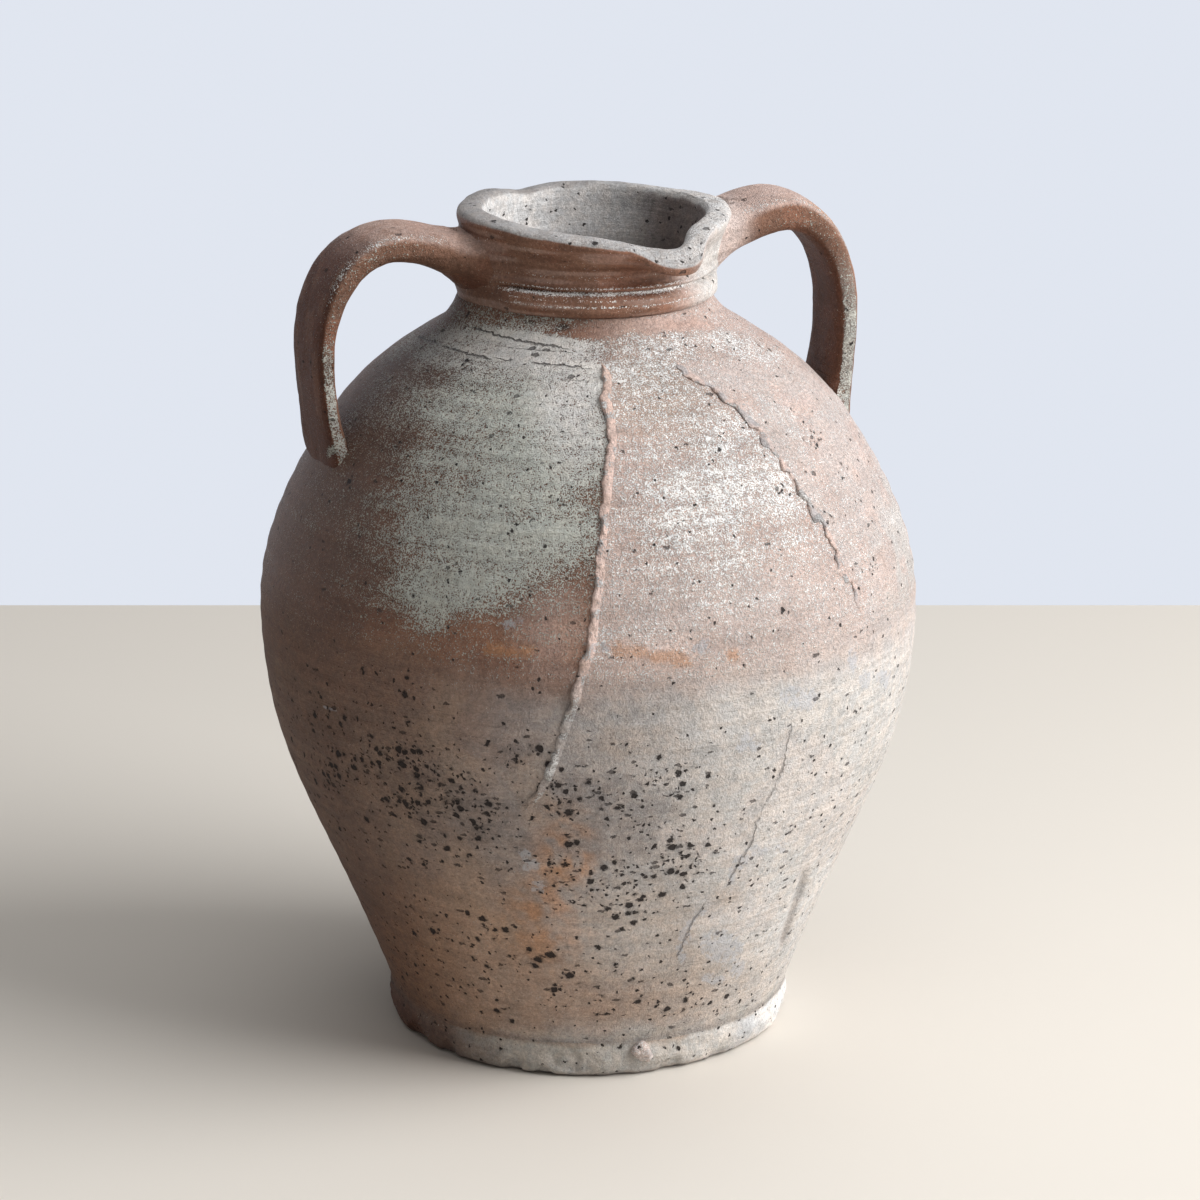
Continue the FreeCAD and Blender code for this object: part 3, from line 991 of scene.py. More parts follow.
@dataclass
class Belly:
    """Thrown wall from the foot to the neck.

    Outlines hold the radius and height of each ring in millimetres. Trails, patches and spots are in pixels
    of the photograph's frame.
    """

    NEAREST_MM: ClassVar[float] = 1500.0
    HALVINGS: ClassVar[int] = 50

    columns: int = 128
    levels: int = 2
    glaze_line: float = 208.0
    profile: Outline = (
        (84.5, 12.5), (87.6, 15.0), (89.3, 17.4), (90.8, 20.6), (92.5, 25.0), (96.2, 35.0), (100.1, 45.0),
        (104.1, 55.0), (108.2, 65.0), (112.4, 75.0), (116.8, 85.0), (121.2, 95.0), (125.5, 105.0),
        (129.6, 115.0), (133.4, 125.0), (136.7, 135.0), (139.6, 145.0), (141.9, 155.0), (143.7, 165.0),
        (144.9, 175.0), (145.6, 185.0), (145.8, 195.0), (145.3, 205.0), (143.9, 215.0), (141.4, 225.0),
        (138.0, 235.0), (133.7, 245.0), (128.7, 255.0), (123.1, 265.0), (116.7, 275.0), (109.5, 285.0),
        (100.7, 295.0), (89.2, 305.0), (74.5, 315.0), (65.0, 320.0), (58.8, 324.5), (55.0, 328.5),
        (52.9, 332.0), (51.8, 336.0),
    )
    inside: Outline = (
        (49.0, 334.0), (49.0, 322.0), (76.0, 304.0), (107.0, 276.0), (129.0, 240.0), (137.0, 195.0),
        (128.0, 130.0), (104.0, 76.0), (82.0, 24.0),
    )
    front_run: Trail = Trail((
        (600.0, 362.0), (606.0, 378.0), (605.0, 400.0), (609.0, 420.0), (611.0, 440.0), (608.0, 465.0),
        (606.0, 490.0), (603.0, 515.0), (600.0, 545.0), (599.0, 575.0), (594.0, 605.0), (591.0, 640.0),
        (588.0, 655.0), (580.0, 675.0), (574.0, 700.0), (566.0, 722.0), (560.0, 740.0), (552.0, 762.0),
        (546.0, 778.0), (536.0, 795.0), (523.0, 812.0)))
    right_run: Trail = Trail((
        (676.0, 362.0), (690.0, 376.0), (706.0, 385.0), (716.0, 392.0), (728.0, 402.0), (740.0, 410.0),
        (748.0, 420.0), (760.0, 430.0), (768.0, 446.0), (778.0, 460.0), (789.0, 474.0), (795.0, 488.0),
        (806.0, 498.0), (812.0, 512.0), (822.0, 522.0), (832.0, 545.0), (838.0, 560.0), (846.0, 580.0),
        (855.0, 590.0), (858.0, 610.0)))
    scar: Trail = Trail(((805.0, 873.0), (800.0, 890.0), (790.0, 918.0), (782.0, 942.0)))
    cracks: tuple[Trail, ...] = (
        Trail(((415.0, 335.0), (440.0, 345.0), (465.0, 353.0), (492.0, 359.0))),
        Trail(((475.0, 328.0), (500.0, 336.0), (530.0, 343.0), (560.0, 347.0))),
        Trail(((505.0, 360.0), (540.0, 364.0), (580.0, 367.0))),
        Trail(((790.0, 730.0), (787.0, 745.0), (783.0, 765.0), (778.0, 780.0), (770.0, 795.0),
               (762.0, 808.0), (757.0, 820.0), (753.0, 838.0), (746.0, 852.0), (736.0, 865.0),
               (730.0, 880.0))),
        Trail(((702.0, 908.0), (692.0, 922.0), (684.0, 940.0), (678.0, 955.0))),
    )
    ash: Patches = (
        Patch(525, 435, 100, 105, 0.0, 0.7), Patch(510, 530, 104, 60, 0.0, 0.7),
        Patch(445, 585, 56, 34, 0.0, 0.6), Patch(565, 390, 52, 70), Patch(540, 350, 110, 22))
    ash_crown: Patches = (Patch(560, 352, 120, 26, 0.0, 0.7), Patch(575, 400, 40, 60, 0.0, 0.8))
    ash_halo: Patches = (Patch(455, 470, 120, 160, 0.0, 0.5), Patch(480, 590, 130, 40, 0.0, 0.5))
    # darker patches on the left flank and by the left handle's root: partly dark clay, partly painted shade
    dark_side: Patches = (Patch(310, 540, 60, 130), Patch(365, 425, 50, 50), Patch(400, 380, 40, 26))
    cream: Patches = (Patch(745, 475, 80, 66, 30, 0.8), Patch(700, 500, 76, 80, 0.0, 0.8))
    tan_top: Patches = (Patch(655, 388, 60, 40, 25, 0.8),)
    cream_top: Patches = (Patch(650, 365, 60, 34), Patch(700, 350, 70, 20))
    under_cordon: Patches = (Patch(630, 326, 85, 8),)
    lilac: Patches = (Patch(670, 720, 110, 55), Patch(560, 705, 60, 45), Patch(640, 800, 90, 40))
    blush: Patches = (Patch(800, 800, 60, 60), Patch(720, 840, 50, 30), Patch(740, 905, 40, 30))
    tan: Patches = (
        Patch(600, 985, 180, 46), Patch(480, 960, 80, 70), Patch(640, 930, 60, 40), Patch(729, 897, 15, 8))
    rust: Patches = (
        Patch(632, 648, 22, 9, 10), Patch(664, 657, 26, 9, 16), Patch(735, 657, 8, 6), Patch(508, 655, 24, 6))
    rust_low: Patches = (Patch(566, 862, 30, 44, 0.0, 0.8), Patch(550, 922, 38, 42, 0.0, 0.8))
    rose_fade: Patches = (Patch(770, 610, 130, 50, 0.0, 0.8), Patch(690, 620, 70, 30, 0.0, 0.8))
    russet: Patches = (
        Patch(572, 632, 22, 26), Patch(430, 640, 90, 24), Patch(566, 868, 30, 42), Patch(553, 925, 34, 30))
    smoke: Patches = (
        Patch(455, 805, 95, 34, 22), Patch(600, 820, 66, 40), Patch(520, 750, 26, 16),
        Patch(350, 760, 40, 40))
    slate: Patches = (
        Patch(757, 843, 12, 6), Patch(741, 858, 14, 7, -50), Patch(735, 872, 6, 12), Patch(700, 910, 12, 8),
        Patch(690, 925, 8, 18, 30), Patch(680, 948, 6, 14), Patch(722, 945, 24, 20), Patch(735, 964, 12, 10),
        Patch(712, 976, 14, 7), Patch(797, 694, 22, 13), Patch(745, 742, 14, 15), Patch(855, 660, 7, 14),
        Patch(870, 680, 7, 11), Patch(885, 678, 5, 12), Patch(700, 650, 14, 9), Patch(515, 626, 15, 8),
        Patch(532, 868, 12, 12), Patch(524, 852, 8, 8), Patch(542, 893, 9, 7), Patch(775, 845, 8, 7),
        Patch(585, 645, 5, 6), Patch(605, 645, 8, 6), Patch(330, 702, 8, 5))
    dense_pits: Patches = (
        Patch(350, 766, 28, 22), Patch(412, 762, 50, 22, 12), Patch(470, 800, 42, 18, 30),
        Patch(425, 803, 42, 17, 5), Patch(486, 820, 18, 16), Patch(520, 750, 26, 14, 10),
        Patch(575, 795, 42, 22, 20), Patch(606, 803, 30, 16, 30), Patch(670, 781, 26, 15),
        Patch(625, 890, 34, 24), Patch(672, 862, 26, 20), Patch(567, 858, 16, 28))
    loose_pits: Patches = (
        Patch(345, 730, 55, 60), Patch(430, 830, 120, 40, 18), Patch(615, 860, 100, 60),
        Patch(640, 780, 80, 40), Patch(430, 940, 50, 50), Patch(400, 705, 60, 30), Patch(530, 960, 130, 50),
        Patch(640, 990, 120, 30))
    spots: Outline = (
        (593.0, 466.0), (511.0, 532.0), (461.0, 569.0), (584.0, 357.0), (343.0, 486.0), (459.0, 364.0),
        (813.0, 437.0), (785.0, 410.0), (831.0, 517.0), (781.0, 612.0), (750.0, 422.0), (783.0, 487.0),
        (420.0, 600.0), (330.0, 590.0), (300.0, 640.0), (715.0, 630.0), (870.0, 560.0), (842.0, 470.0))
    ochre: Patches = (Patch(475, 955, 85, 80, 0.0, 0.7), Patch(540, 1000, 120, 30, 0.0, 0.7))
    pale_low: Patches = (Patch(775, 890, 70, 110, 0.0, 0.7), Patch(615, 930, 50, 45, 0.0, 0.7))
    gouges: Patches = (Patch(532, 321, 6, 3, 15), Patch(562, 323, 8, 3))
    faded_iron: Patches = (Patch(556, 636, 34, 34, 0.0, 0.7),)
    spot_half: tuple[float, float] = (6.0, 5.0)
    wobble: float = 0.5
    sway: float = 0.3
    roughness: float = 0.08
    ring_rise: float = 0.34
    ring_pitch: float = 10.5
    scar_half: float = 3.8
    scar_depth: float = 1.7
    crease_height: float = 17.5
    collar_row: float = 400.0

    def radius_at(self, height: np.ndarray) -> np.ndarray:
        """Radius of the outer face at each height, in millimetres."""
        radii, heights = np.array(self.profile).T
        return np.interp(height, heights, radii)

    def surface(self, u: float, v: float) -> np.ndarray:
        """Finds the place on the wall that a pixel shows.

        Args:
            u: Column in the photograph's frame.
            v: Row in the photograph's frame.

        Returns:
            The place in millimetres.
        """
        near, far = self.NEAREST_MM, VIEW.distance / math.cos(VIEW.pitch)
        for _ in range(self.HALVINGS):
            reach = (near + far) / 2.0
            place = VIEW.place + VIEW.ray(u, v) * reach
            if np.hypot(place[0], place[1]) > self.radius_at(place[2]):
                near = reach
            else:
                far = reach
        return VIEW.place + VIEW.ray(u, v) * near

    def unevenness(self, points: np.ndarray) -> np.ndarray:
        """Finds how far the thrown wall stands out from a true turned one.

        Args:
            points: Places in millimetres.

        Returns:
            Rises in millimetres.
        """
        chart = Chart(points)
        height = points[:, 2]
        rings = np.sin(FULL_TURN * height / self.ring_pitch + 1.6 * ripple(points, 60.0, 3))
        strength = smooth_step(-0.3, 0.5, ripple(points, 70.0, 4)) * smooth_step(330.0, 290.0, height)
        gouged = bell(self.scar.beside(chart.u, chart.v)[1], self.scar_half) * chart.seen
        return (self.wobble * ripple(points, 110.0, 1) + self.sway * ripple(points, 38.0, 2)
                + self.ring_rise * rings * (0.25 + 0.75 * strength)
                + self.roughness * ripple(points, 6.0, 5) - self.scar_depth * gouged)

    def build(self) -> bpy.types.Object:
        """Models the wall.

        Returns:
            The piece.
        """
        profile = self.profile + self.inside + self.profile[:1]
        piece = Modeller.loft("belly", Modeller.turned(profile, self.columns))
        Modeller.refine(piece, self.levels)
        points = Modeller.points(piece)
        around = from_axis(points)
        height = points[:, 2].copy()
        outside = smooth_step(-6.0, -2.0, around - self.radius_at(height))
        fade = outside * smooth_step(14.0, 22.0, height) * smooth_step(336.0, 322.0, height)
        web = WEB.rise(points) * outside * smooth_step(309.0, 331.0, height)
        points[:, :2] *= (1.0 + (self.unevenness(points) * fade + web) / around)[:, None]
        Modeller.place(piece, points)
        return piece

    def regions(self, chart: Chart) -> Regions:
        """Finds the parts of the wall that are glazed differently.

        Args:
            chart: Chart of places on the wall.

        Returns:
            Shares of the parts at each place.
        """
        points = chart.points
        ragged = 5.0 * ripple(points, 30.0, 6) + 3.0 * ripple(points, 9.0, 7) + 1.5 * ripple(points, 3.5, 8)
        height = points[:, 2] + ragged
        upper = smooth_step(self.glaze_line - 22.0, self.glaze_line + 12.0, height)
        edge = 4.0 + 60.0 * (1.0 - chart.seen)
        begun = smooth_step(346.0, 376.0, chart.stray_v)
        right = smooth_step(-1.0, 1.0, (chart.u - self.front_run.column(chart.v)) / edge)
        right = begun * right + (1.0 - begun) * smooth_step(560.0, 660.0, chart.stray_u)
        beyond = smooth_step(-1.0, 1.0, (chart.u - self.right_run.column(chart.v)) / edge) * upper * begun
        return Regions(height, upper, right, beyond)

    def glaze(self, points: np.ndarray) -> Glaze:
        """Glazes places on the wall.

        Args:
            points: Places in millimetres.

        Returns:
            The glaze there.
        """
        chart = Chart(points)
        regions = self.regions(chart)
        made = Glaze.plain(len(points), Clay.TAUPE, Clay.ASH, 0.16, 0.015, 0.85)
        self.colour_lower(made, chart, regions.lower)
        self.pock_lower(made, chart, regions.lower)
        self.colour_upper(made, chart, regions)
        self.fleck_upper(made, chart, regions)
        self.rust_and_shade(made, chart)
        self.mark(made, chart, regions)
        return made

    def colour_lower(self, made: Glaze, chart: Chart, lower: np.ndarray) -> None:
        """Colours the barer lower half of the wall.

        Args:
            made: Glaze to work on.
            chart: Chart of the same places.
            lower: Share of the lower half at each place.
        """
        points = chart.points
        # lit: pale lower right, partly pale glaze and partly painted light
        lit = smooth_step(520.0, 830.0, chart.stray_u) * lower
        left = smooth_step(600.0, 430.0, chart.stray_u) * lower
        risen = smooth_step(140.0, 205.0, points[:, 2] + 8.0 * ripple(points, 24.0, 27))
        made.stain(Clay.LILAC, 0.9 * smooth_step(380.0, 580.0, chart.stray_u) * lower)
        made.stain(Clay.LILAC, 0.5 * chart.spread(*self.lilac) * lower)
        made.stain(Clay.IRON, 0.5 * risen * left)
        made.stain(Clay.CHALK, lit)
        made.stain(Clay.PEACH, 0.25 * chart.ragged(*self.blush, size=16.0) * lower)
        made.stain(Clay.TAN, 0.42 * chart.spread(*self.tan) * lower)
        made.stain(Clay.TAN, 0.3 * smooth_step(0.1, 0.6, ripple(points, 17.0, 21)) * lower * (1.0 - lit))
        made.stain(Clay.SMOKE, 0.26 * chart.ragged(*self.smoke, size=9.0))
        made.coat(0.04, lower)
        made.bloom(Clay.BONE, lower)

    def pock_lower(self, made: Glaze, chart: Chart, lower: np.ndarray) -> None:
        """Strews pits over the lower half of the wall, in groups where they are seen.

        Args:
            made: Glaze to work on.
            chart: Chart of the same places.
            lower: Share of the lower half at each place.
        """
        height = chart.points[:, 2]
        strewn = smooth_step(0.25, 0.6, ripple(chart.points, 42.0, 22)) * smooth_step(195.0, 165.0, height)
        made.pock(0.12, smooth_step(200.0, 170.0, height))
        made.pock(0.45, strewn * (1.0 - chart.seen) * smooth_step(60.0, 110.0, height))
        made.pock(0.26, chart.ragged(*self.loose_pits, size=12.0) * lower)
        made.pock(0.8, chart.spread(*self.dense_pits) * lower)

    def colour_upper(self, made: Glaze, chart: Chart, regions: Regions) -> None:
        """Colours the clay under the glaze of the upper half.

        Args:
            made: Glaze to work on.
            chart: Chart of the same places.
            regions: Parts of the wall at these places.
        """
        upper, right, beyond = regions.upper, regions.right, regions.beyond
        band = bell(regions.height - self.glaze_line - 8.0, 10.0)
        made.bare(0.15, upper)
        made.stain(Clay.IRON, regions.left * upper)
        # darker left patches: partly dark clay, partly painted shade
        made.stain(Clay.UMBER, 0.75 * chart.spread(*self.dark_side) * upper)
        made.stain(Clay.ROSE, right * upper)
        made.stain(Clay.TAN, 0.5 * chart.spread(*self.tan_top) * right)
        made.stain(Clay.PEACH, beyond)
        # paler far right edge: partly pale glaze, partly painted light
        made.stain(Clay.CHALK, 0.8 * beyond * smooth_step(860.0, 905.0, chart.stray_u))
        made.stain(Clay.PEACH, 0.7 * chart.spread(*self.rose_fade) * right)
        made.stain(Clay.BRICK, 0.25 * chart.spread(*self.under_cordon))
        made.stain(Clay.BRICK, 0.35 * band * regions.left * upper)
        made.stain(Clay.ROSE, 0.4 * chart.spread(*self.faded_iron))
        made.stain(Clay.ROSE, 0.6 * beyond * smooth_step(-0.1, 0.5, ripple(chart.points, 9.0, 25)))

    def fleck_upper(self, made: Glaze, chart: Chart, regions: Regions) -> None:
        """Lays the pale flecks of the upper half, densest in the ash patch and beside the front run.

        Args:
            made: Glaze to work on.
            chart: Chart of the same places.
            regions: Parts of the wall at these places.
        """
        upper, right, left = regions.upper, regions.right, regions.left
        streaks = ripple(chart.points * np.array((0.15, 0.15, 1.0)), 4.0, 18)
        patchy = 0.08 * (ripple(chart.points, 16.0, 17) + streaks) * (1.0 - 0.4 * right)
        crown = chart.spread(*self.ash_crown)
        made.coat(0.2, upper)
        made.coat(0.36, chart.spread(*self.ash_halo) * left * upper)
        made.coat(0.76, chart.spread(*self.ash) * left * upper)
        made.coat(0.84, 0.8 * crown * left)
        made.coat(0.36, right * upper)
        made.coat(0.56, chart.spread(*self.cream) * right * upper)
        made.coat(0.52, chart.spread(*self.cream_top) * right)
        made.coat(0.33, regions.beyond)
        made.coat(0.14, chart.spread(*self.under_cordon))
        made.cover += patchy * upper
        made.bloom(Clay.CHALK, crown)
        made.bloom(Clay.CREAM, right * upper)

    def rust_and_shade(self, made: Glaze, chart: Chart) -> None:
        """Adds rust stains, the pale edge above the foot and the darker left side, which is partly dark clay
        and partly painted shade.

        Args:
            made: Glaze to work on.
            chart: Chart of the same places.
        """
        points = chart.points
        height = points[:, 2]
        low_edge = smooth_step(26.0, 16.0, height + 7.0 * ripple(points, 9.0, 24))
        broken = smooth_step(-0.6, 0.4, ripple(points, 4.0, 26))
        made.stain(Clay.RUST, 0.1 * chart.ragged(*self.russet, size=9.0))
        made.stain(Clay.RUST, 0.55 * chart.ragged(*self.rust, size=3.5))
        made.stain(Clay.RUST, 0.7 * chart.spread(*self.rust_low) * broken)
        made.coat(0.2, chart.spread(*self.rust))
        made.stain(Clay.PUTTY, 0.6 * low_edge * smooth_step(430.0, 600.0, chart.stray_u))
        # darker left side, partly dark clay and partly painted shade, with fewer pale flecks
        made.stain(Clay.UMBER, (0.75 + 0.2 * smooth_step(120.0, 60.0, height)) * chart.shaded)
        made.cover -= 0.06 * chart.shaded
        made.stain(Clay.RUST, 0.24 * chart.spread(*self.ochre) * chart.seen)
        made.stain(Clay.CREAM, 0.26 * chart.spread(*self.pale_low) * chart.seen)

    def mark(self, made: Glaze, chart: Chart, regions: Regions) -> None:
        """Adds painted shade in the crease above the foot, single spots, gouges, the scar, flakes and scored
        lines.

        Args:
            made: Glaze to work on.
            chart: Chart of the same places.
            regions: Parts of the wall at these places.
        """
        spots = [Patch(u, v, *self.spot_half) for u, v in self.spots]
        scar = bell(self.scar.beside(chart.u, chart.v)[1], 3.5)
        # painted shade in the crease between the wall and the foot
        made.stain(Clay.SMOKE, 0.4 * bell(chart.points[:, 2] - self.crease_height, 1.6))
        made.pock(0.07, regions.upper)
        made.pock(0.95, chart.spread(*spots) * chart.seen)
        made.stain(Clay.SOOT, 0.9 * chart.spread(*self.gouges) * chart.seen)
        made.stain(Clay.SMOKE, 0.45 * scar * chart.seen)
        made.flake = chart.spread(*self.slate) * chart.seen
        for trail in self.cracks:
            by_collar = trail.points[0][1] < self.collar_row
            made.scratch(trail, chart, 0.9 if by_collar else 0.5)

    def dress(self, piece: bpy.types.Object, finish: bpy.types.Material) -> None:
        """Glazes the wall and sets it in the frame."""
        self.glaze(Modeller.points(piece)).store(piece)
        Modeller.mount(piece, "belly_stoneware", ("lower_wall", "upper_wall"), finish)


@dataclass
class Neck:
    """Collar with its cordon, and the flat-topped lip with its pinched spout.

    The outline holds the radius and height of each ring, and the rim the turn in degrees, the rise and the
    reach of the pinched lip. The streaks hold the height, half width and strength of pale lines on the
    collar, partly pale glaze and partly painted highlight on its ridges. Lengths are in millimetres.
    """

    columns: int = 112
    levels: int = 2
    wall_radius: float = 51.5
    profile: Outline = (
        (49.6, 319.0), (50.0, 325.0), (50.4, 330.0), (50.9, 333.2), (52.8, 334.0), (54.7, 335.5),
        (55.6, 337.7), (55.5, 339.8), (55.4, 341.6), (54.8, 343.1), (53.4, 344.1), (51.5, 344.7),
        (51.4, 345.3), (53.2, 346.1), (53.4, 347.2), (52.2, 348.2), (51.4, 349.2), (51.5, 351.2),
        (51.9, 353.6), (52.8, 356.5), (54.3, 359.5), (56.2, 362.2), (58.0, 364.6), (59.2, 366.5),
        (59.6, 368.0), (59.1, 369.4), (57.7, 370.3), (55.4, 370.8), (52.8, 371.1), (50.8, 371.1),
        (49.5, 370.6), (48.8, 369.4), (48.3, 367.0), (47.8, 362.5), (47.2, 357.0), (46.7, 350.0),
        (46.5, 343.0), (46.5, 336.0), (46.5, 329.0), (47.0, 321.0), (48.2, 318.2),
    )
    rim: tuple[tuple[float, float, float], ...] = (
        (-180.0, 0.8, 0.0), (-160.0, 0.4, 0.0), (-143.0, -1.7, -0.8), (-124.0, 1.3, 0.4), (-100.0, 0.9, 0.0),
        (-60.0, 1.3, -0.6), (-40.0, 1.0, -0.4), (-20.0, 0.0, 0.6), (0.0, -1.4, 2.0), (14.0, -3.2, 3.8),
        (24.0, -5.4, 5.6), (33.0, -7.0, 7.2), (40.0, -7.2, 7.2), (46.0, -5.2, 5.0), (51.0, -2.2, 2.0),
        (58.0, -0.5, 0.4), (70.0, 0.0, -0.6), (110.0, 0.5, 0.0), (180.0, 0.8, 0.0),
    )
    rim_span: int = 11
    streaks: tuple[tuple[float, float, float], ...] = (
        (344.5, 0.9, 0.6), (346.9, 0.5, 0.45), (339.4, 0.5, 0.4), (351.5, 0.4, 0.25), (342.0, 0.4, 0.25))
    spout_turn: float = 36.0
    spout_half: float = 15.0
    tongue_drop: float = 4.2
    tongue_reach: float = 0.8
    lip_shift: float = 2.6
    neck_shift: float = 1.2
    tilt: float = 0.02

    def rim_at(self, turn: np.ndarray) -> tuple[np.ndarray, np.ndarray]:
        """Finds the form of the pinched rim.

        Args:
            turn: Turns about the jar's axis from the camera's side, in degrees.

        Returns:
            Rise and reach at each turn, in millimetres.
        """
        turns, rises, reaches = np.array(self.rim).T
        spare = self.rim_span // 2
        every = np.arange(-180.0, 181.0)
        padded = np.arange(-180.0 - spare, 181.0 + spare)
        curves = []
        for values in (rises, reaches):
            table = np.interp(padded, turns, values, period=360.0)
            curves.append(np.interp(turn, every, smoothed(table, self.rim_span)))
        return curves[0], curves[1]

    def build(self) -> bpy.types.Object:
        """Models the collar and the lip.

        Returns:
            The piece.
        """
        profile = self.profile + self.profile[:1]
        piece = Modeller.loft("collar_and_lip", Modeller.turned(profile, self.columns))
        Modeller.refine(piece, self.levels)
        points = Modeller.points(piece)
        around = from_axis(points)
        height = points[:, 2].copy()
        turn = VIEW.turn(points)
        outer = smooth_step(48.6, 50.2, around)
        lip = smooth_step(353.0, 366.0, height)
        rise, reach = self.rim_at(turn)
        tongue = bell(turn - self.spout_turn, self.spout_half, 4.0) * smooth_step(52.0, 59.0, around)

        grown = around.copy()
        cordon = np.clip(around - self.wall_radius, 0.0, None) * smooth_step(350.0, 348.5, height) * outer
        for share in WEB.shares(points):
            grown -= 0.9 * cordon * smooth_step(0.1, 0.5, share)
        grown += WEB.rise(points) * outer * smooth_step(365.0, 352.0, height)
        grown += (reach + self.tongue_reach * tongue) * lip
        uneven = 0.3 * ripple(points, 30.0, 31) + 0.12 * ripple(points, 7.0, 32)
        grown += uneven * smooth_step(333.0, 337.0, height)
        points[:, :2] *= (grown / around)[:, None]
        points[:, 2] += (rise - self.tongue_drop * tongue + 0.25 * ripple(points, 14.0, 33)
                         + 0.15 * ripple(points, 4.0, 34)) * lip
        points[:, 2] -= self.tilt * (points @ VIEW.right) * smooth_step(330.0, 340.0, height)
        shift = self.neck_shift * smooth_step(326.0, 338.0, height)
        points += VIEW.right * (shift + (self.lip_shift - self.neck_shift) * lip)[:, None]
        Modeller.place(piece, points)
        return piece

    def dress(self, piece: bpy.types.Object, finish: bpy.types.Material) -> None:
        """Glazes the collar and the lip and sets them in the frame.

        Args:
            piece: The modelled piece.
            finish: Its material.
        """
        points = Modeller.points(piece)
        normals = Modeller.normals(piece)
        turn = VIEW.turn(points)
        rise, _ = self.rim_at(turn)
        level = points[:, 2] - rise * smooth_step(350.0, 366.0, points[:, 2])
        # lit: pale right side of collar and lip, partly pale glaze and partly painted light
        lit = smooth_step(35.0, 78.0, turn + 6.0 * ripple(points, 12.0, 35)) * smooth_step(178.0, 112.0, turn)
        inside = smooth_step(0.1, -0.35, outwardness(points, normals))
        upward = smooth_step(0.15, 0.55, normals[:, 2] + 0.12 * ripple(points, 5.0, 37))
        crest = np.maximum(smooth_step(361.0, 365.0, level), bell(turn - self.spout_turn, 24.0, 4.0))
        top = upward * smooth_step(352.0, 356.0, points[:, 2]) * crest

        made = Glaze.plain(len(points), Clay.IRON, Clay.CREAM, 0.05, 0.03, 0.2)
        self.glaze_collar(made, points, level, lit)
        # pale lines on the cordon's ridges: partly pale glaze, partly painted highlight
        streaks = sum(strength * bell(level - place + 0.3 * ripple(points, 18.0, 38), half)
                      for place, half, strength in self.streaks)
        made.cover += streaks * smooth_step(-58.0, -30.0, turn) * (1.0 - inside)
        made.coat(0.3, lit * (1.0 - inside))
        self.glaze_throat(made, turn, inside)
        self.glaze_rim(made, points, top, lit)
        made.bare(0.6, np.maximum(top, inside))
        made.pock(0.16, top)
        made.pock(0.15, inside)
        # painted shadow under the cordon, kept off the lit right side
        made.stain(Clay.SOOT, 0.5 * smooth_step(335.2, 334.0, level) * (1.0 - inside) * (1.0 - lit))
        made.store(piece)
        Modeller.mount(piece, "collar_stoneware", ("neck_collar", "neck_cordon", "pouring_lip"), finish)

    @staticmethod
    def glaze_collar(made: Glaze, points: np.ndarray, level: np.ndarray, lit: np.ndarray) -> None:
        """Colours the collar's outside, brown with fine grooves, darker on the left and pale on the right.

        The darker left is partly dark clay and partly painted shade; the pale right is partly pale glaze and
        partly painted light.

        Args:
            made: Glaze to work on.
            points: Places in millimetres.
            level: Their heights with the pinch of the rim taken out; not used.
            lit: Share of the pale right side, partly pale glaze and partly painted light.
        """
        grooves = ripple(points * np.array((0.1, 0.1, 1.0)), 2.0, 39)
        made.stain(Clay.BRICK, 0.6 * smooth_step(-0.2, 0.6, ripple(points, 13.0, 36)))
        # darker on the left: partly dark clay, partly painted shade
        made.stain(Clay.UMBER, 0.5 * smooth_step(-20.0, -60.0, VIEW.turn(points)))
        made.stain(Clay.SEPIA, 0.4 * smooth_step(0.1, 0.6, grooves))
        made.stain(Clay.ROSE, 0.25 * smooth_step(-0.1, -0.6, grooves))
        made.stain(Clay.PEACH, 0.95 * lit)
        made.stain(Clay.CHALK, lit)

    @staticmethod
    def glaze_throat(made: Glaze, turn: np.ndarray, inside: np.ndarray) -> None:
        """Colours the throat, pale with painted light on the left and dark with painted shade on the right.

        Args:
            made: Glaze to work on.
            turn: Turns from the camera's side in degrees.
            inside: Share of the throat.
        """
        # painted shade on the unlit right of the throat and painted light on its lit left
        painted_shade = smooth_step(30.0, 80.0, turn) * smooth_step(168.0, 132.0, turn)
        pale = smooth_step(-25.0, -75.0, turn) * smooth_step(-170.0, -140.0, turn)
        made.stain(Clay.BONE, inside)
        made.stain(Clay.SMOKE, 0.9 * inside * painted_shade)
        made.stain(Clay.CREAM, 0.75 * inside * pale)
        made.coat(-0.1, inside)

    @staticmethod
    def glaze_rim(made: Glaze, points: np.ndarray, top: np.ndarray, lit: np.ndarray) -> None:
        """Colours the rubbed top of the lip.

        Args:
            made: Glaze to work on.
            points: Places in millimetres.
            top: Share of the lip's top.
            lit: Share of the pale right side, partly pale glaze and partly painted light.
        """
        made.stain(Clay.BONE, top)
        # paler top on the lit right: partly pale glaze, partly painted light
        made.stain(Clay.CREAM, 0.8 * top * lit)
        made.stain(Clay.SMOKE, 0.3 * top * smooth_step(-30.0, -70.0, VIEW.turn(points)))
        made.bloom(Clay.SMOKE, 0.75 * top)
        made.coat(0.38, top)
        made.cover += 0.1 * top * ripple(points, 7.0, 40)


@dataclass(frozen=True)
class Chip:
    """Flake off the foot's edge: its turn and half width in degrees, and the rest in millimetres."""

    turn: float
    height: float
    half_width: float
    half_height: float
    depth: float


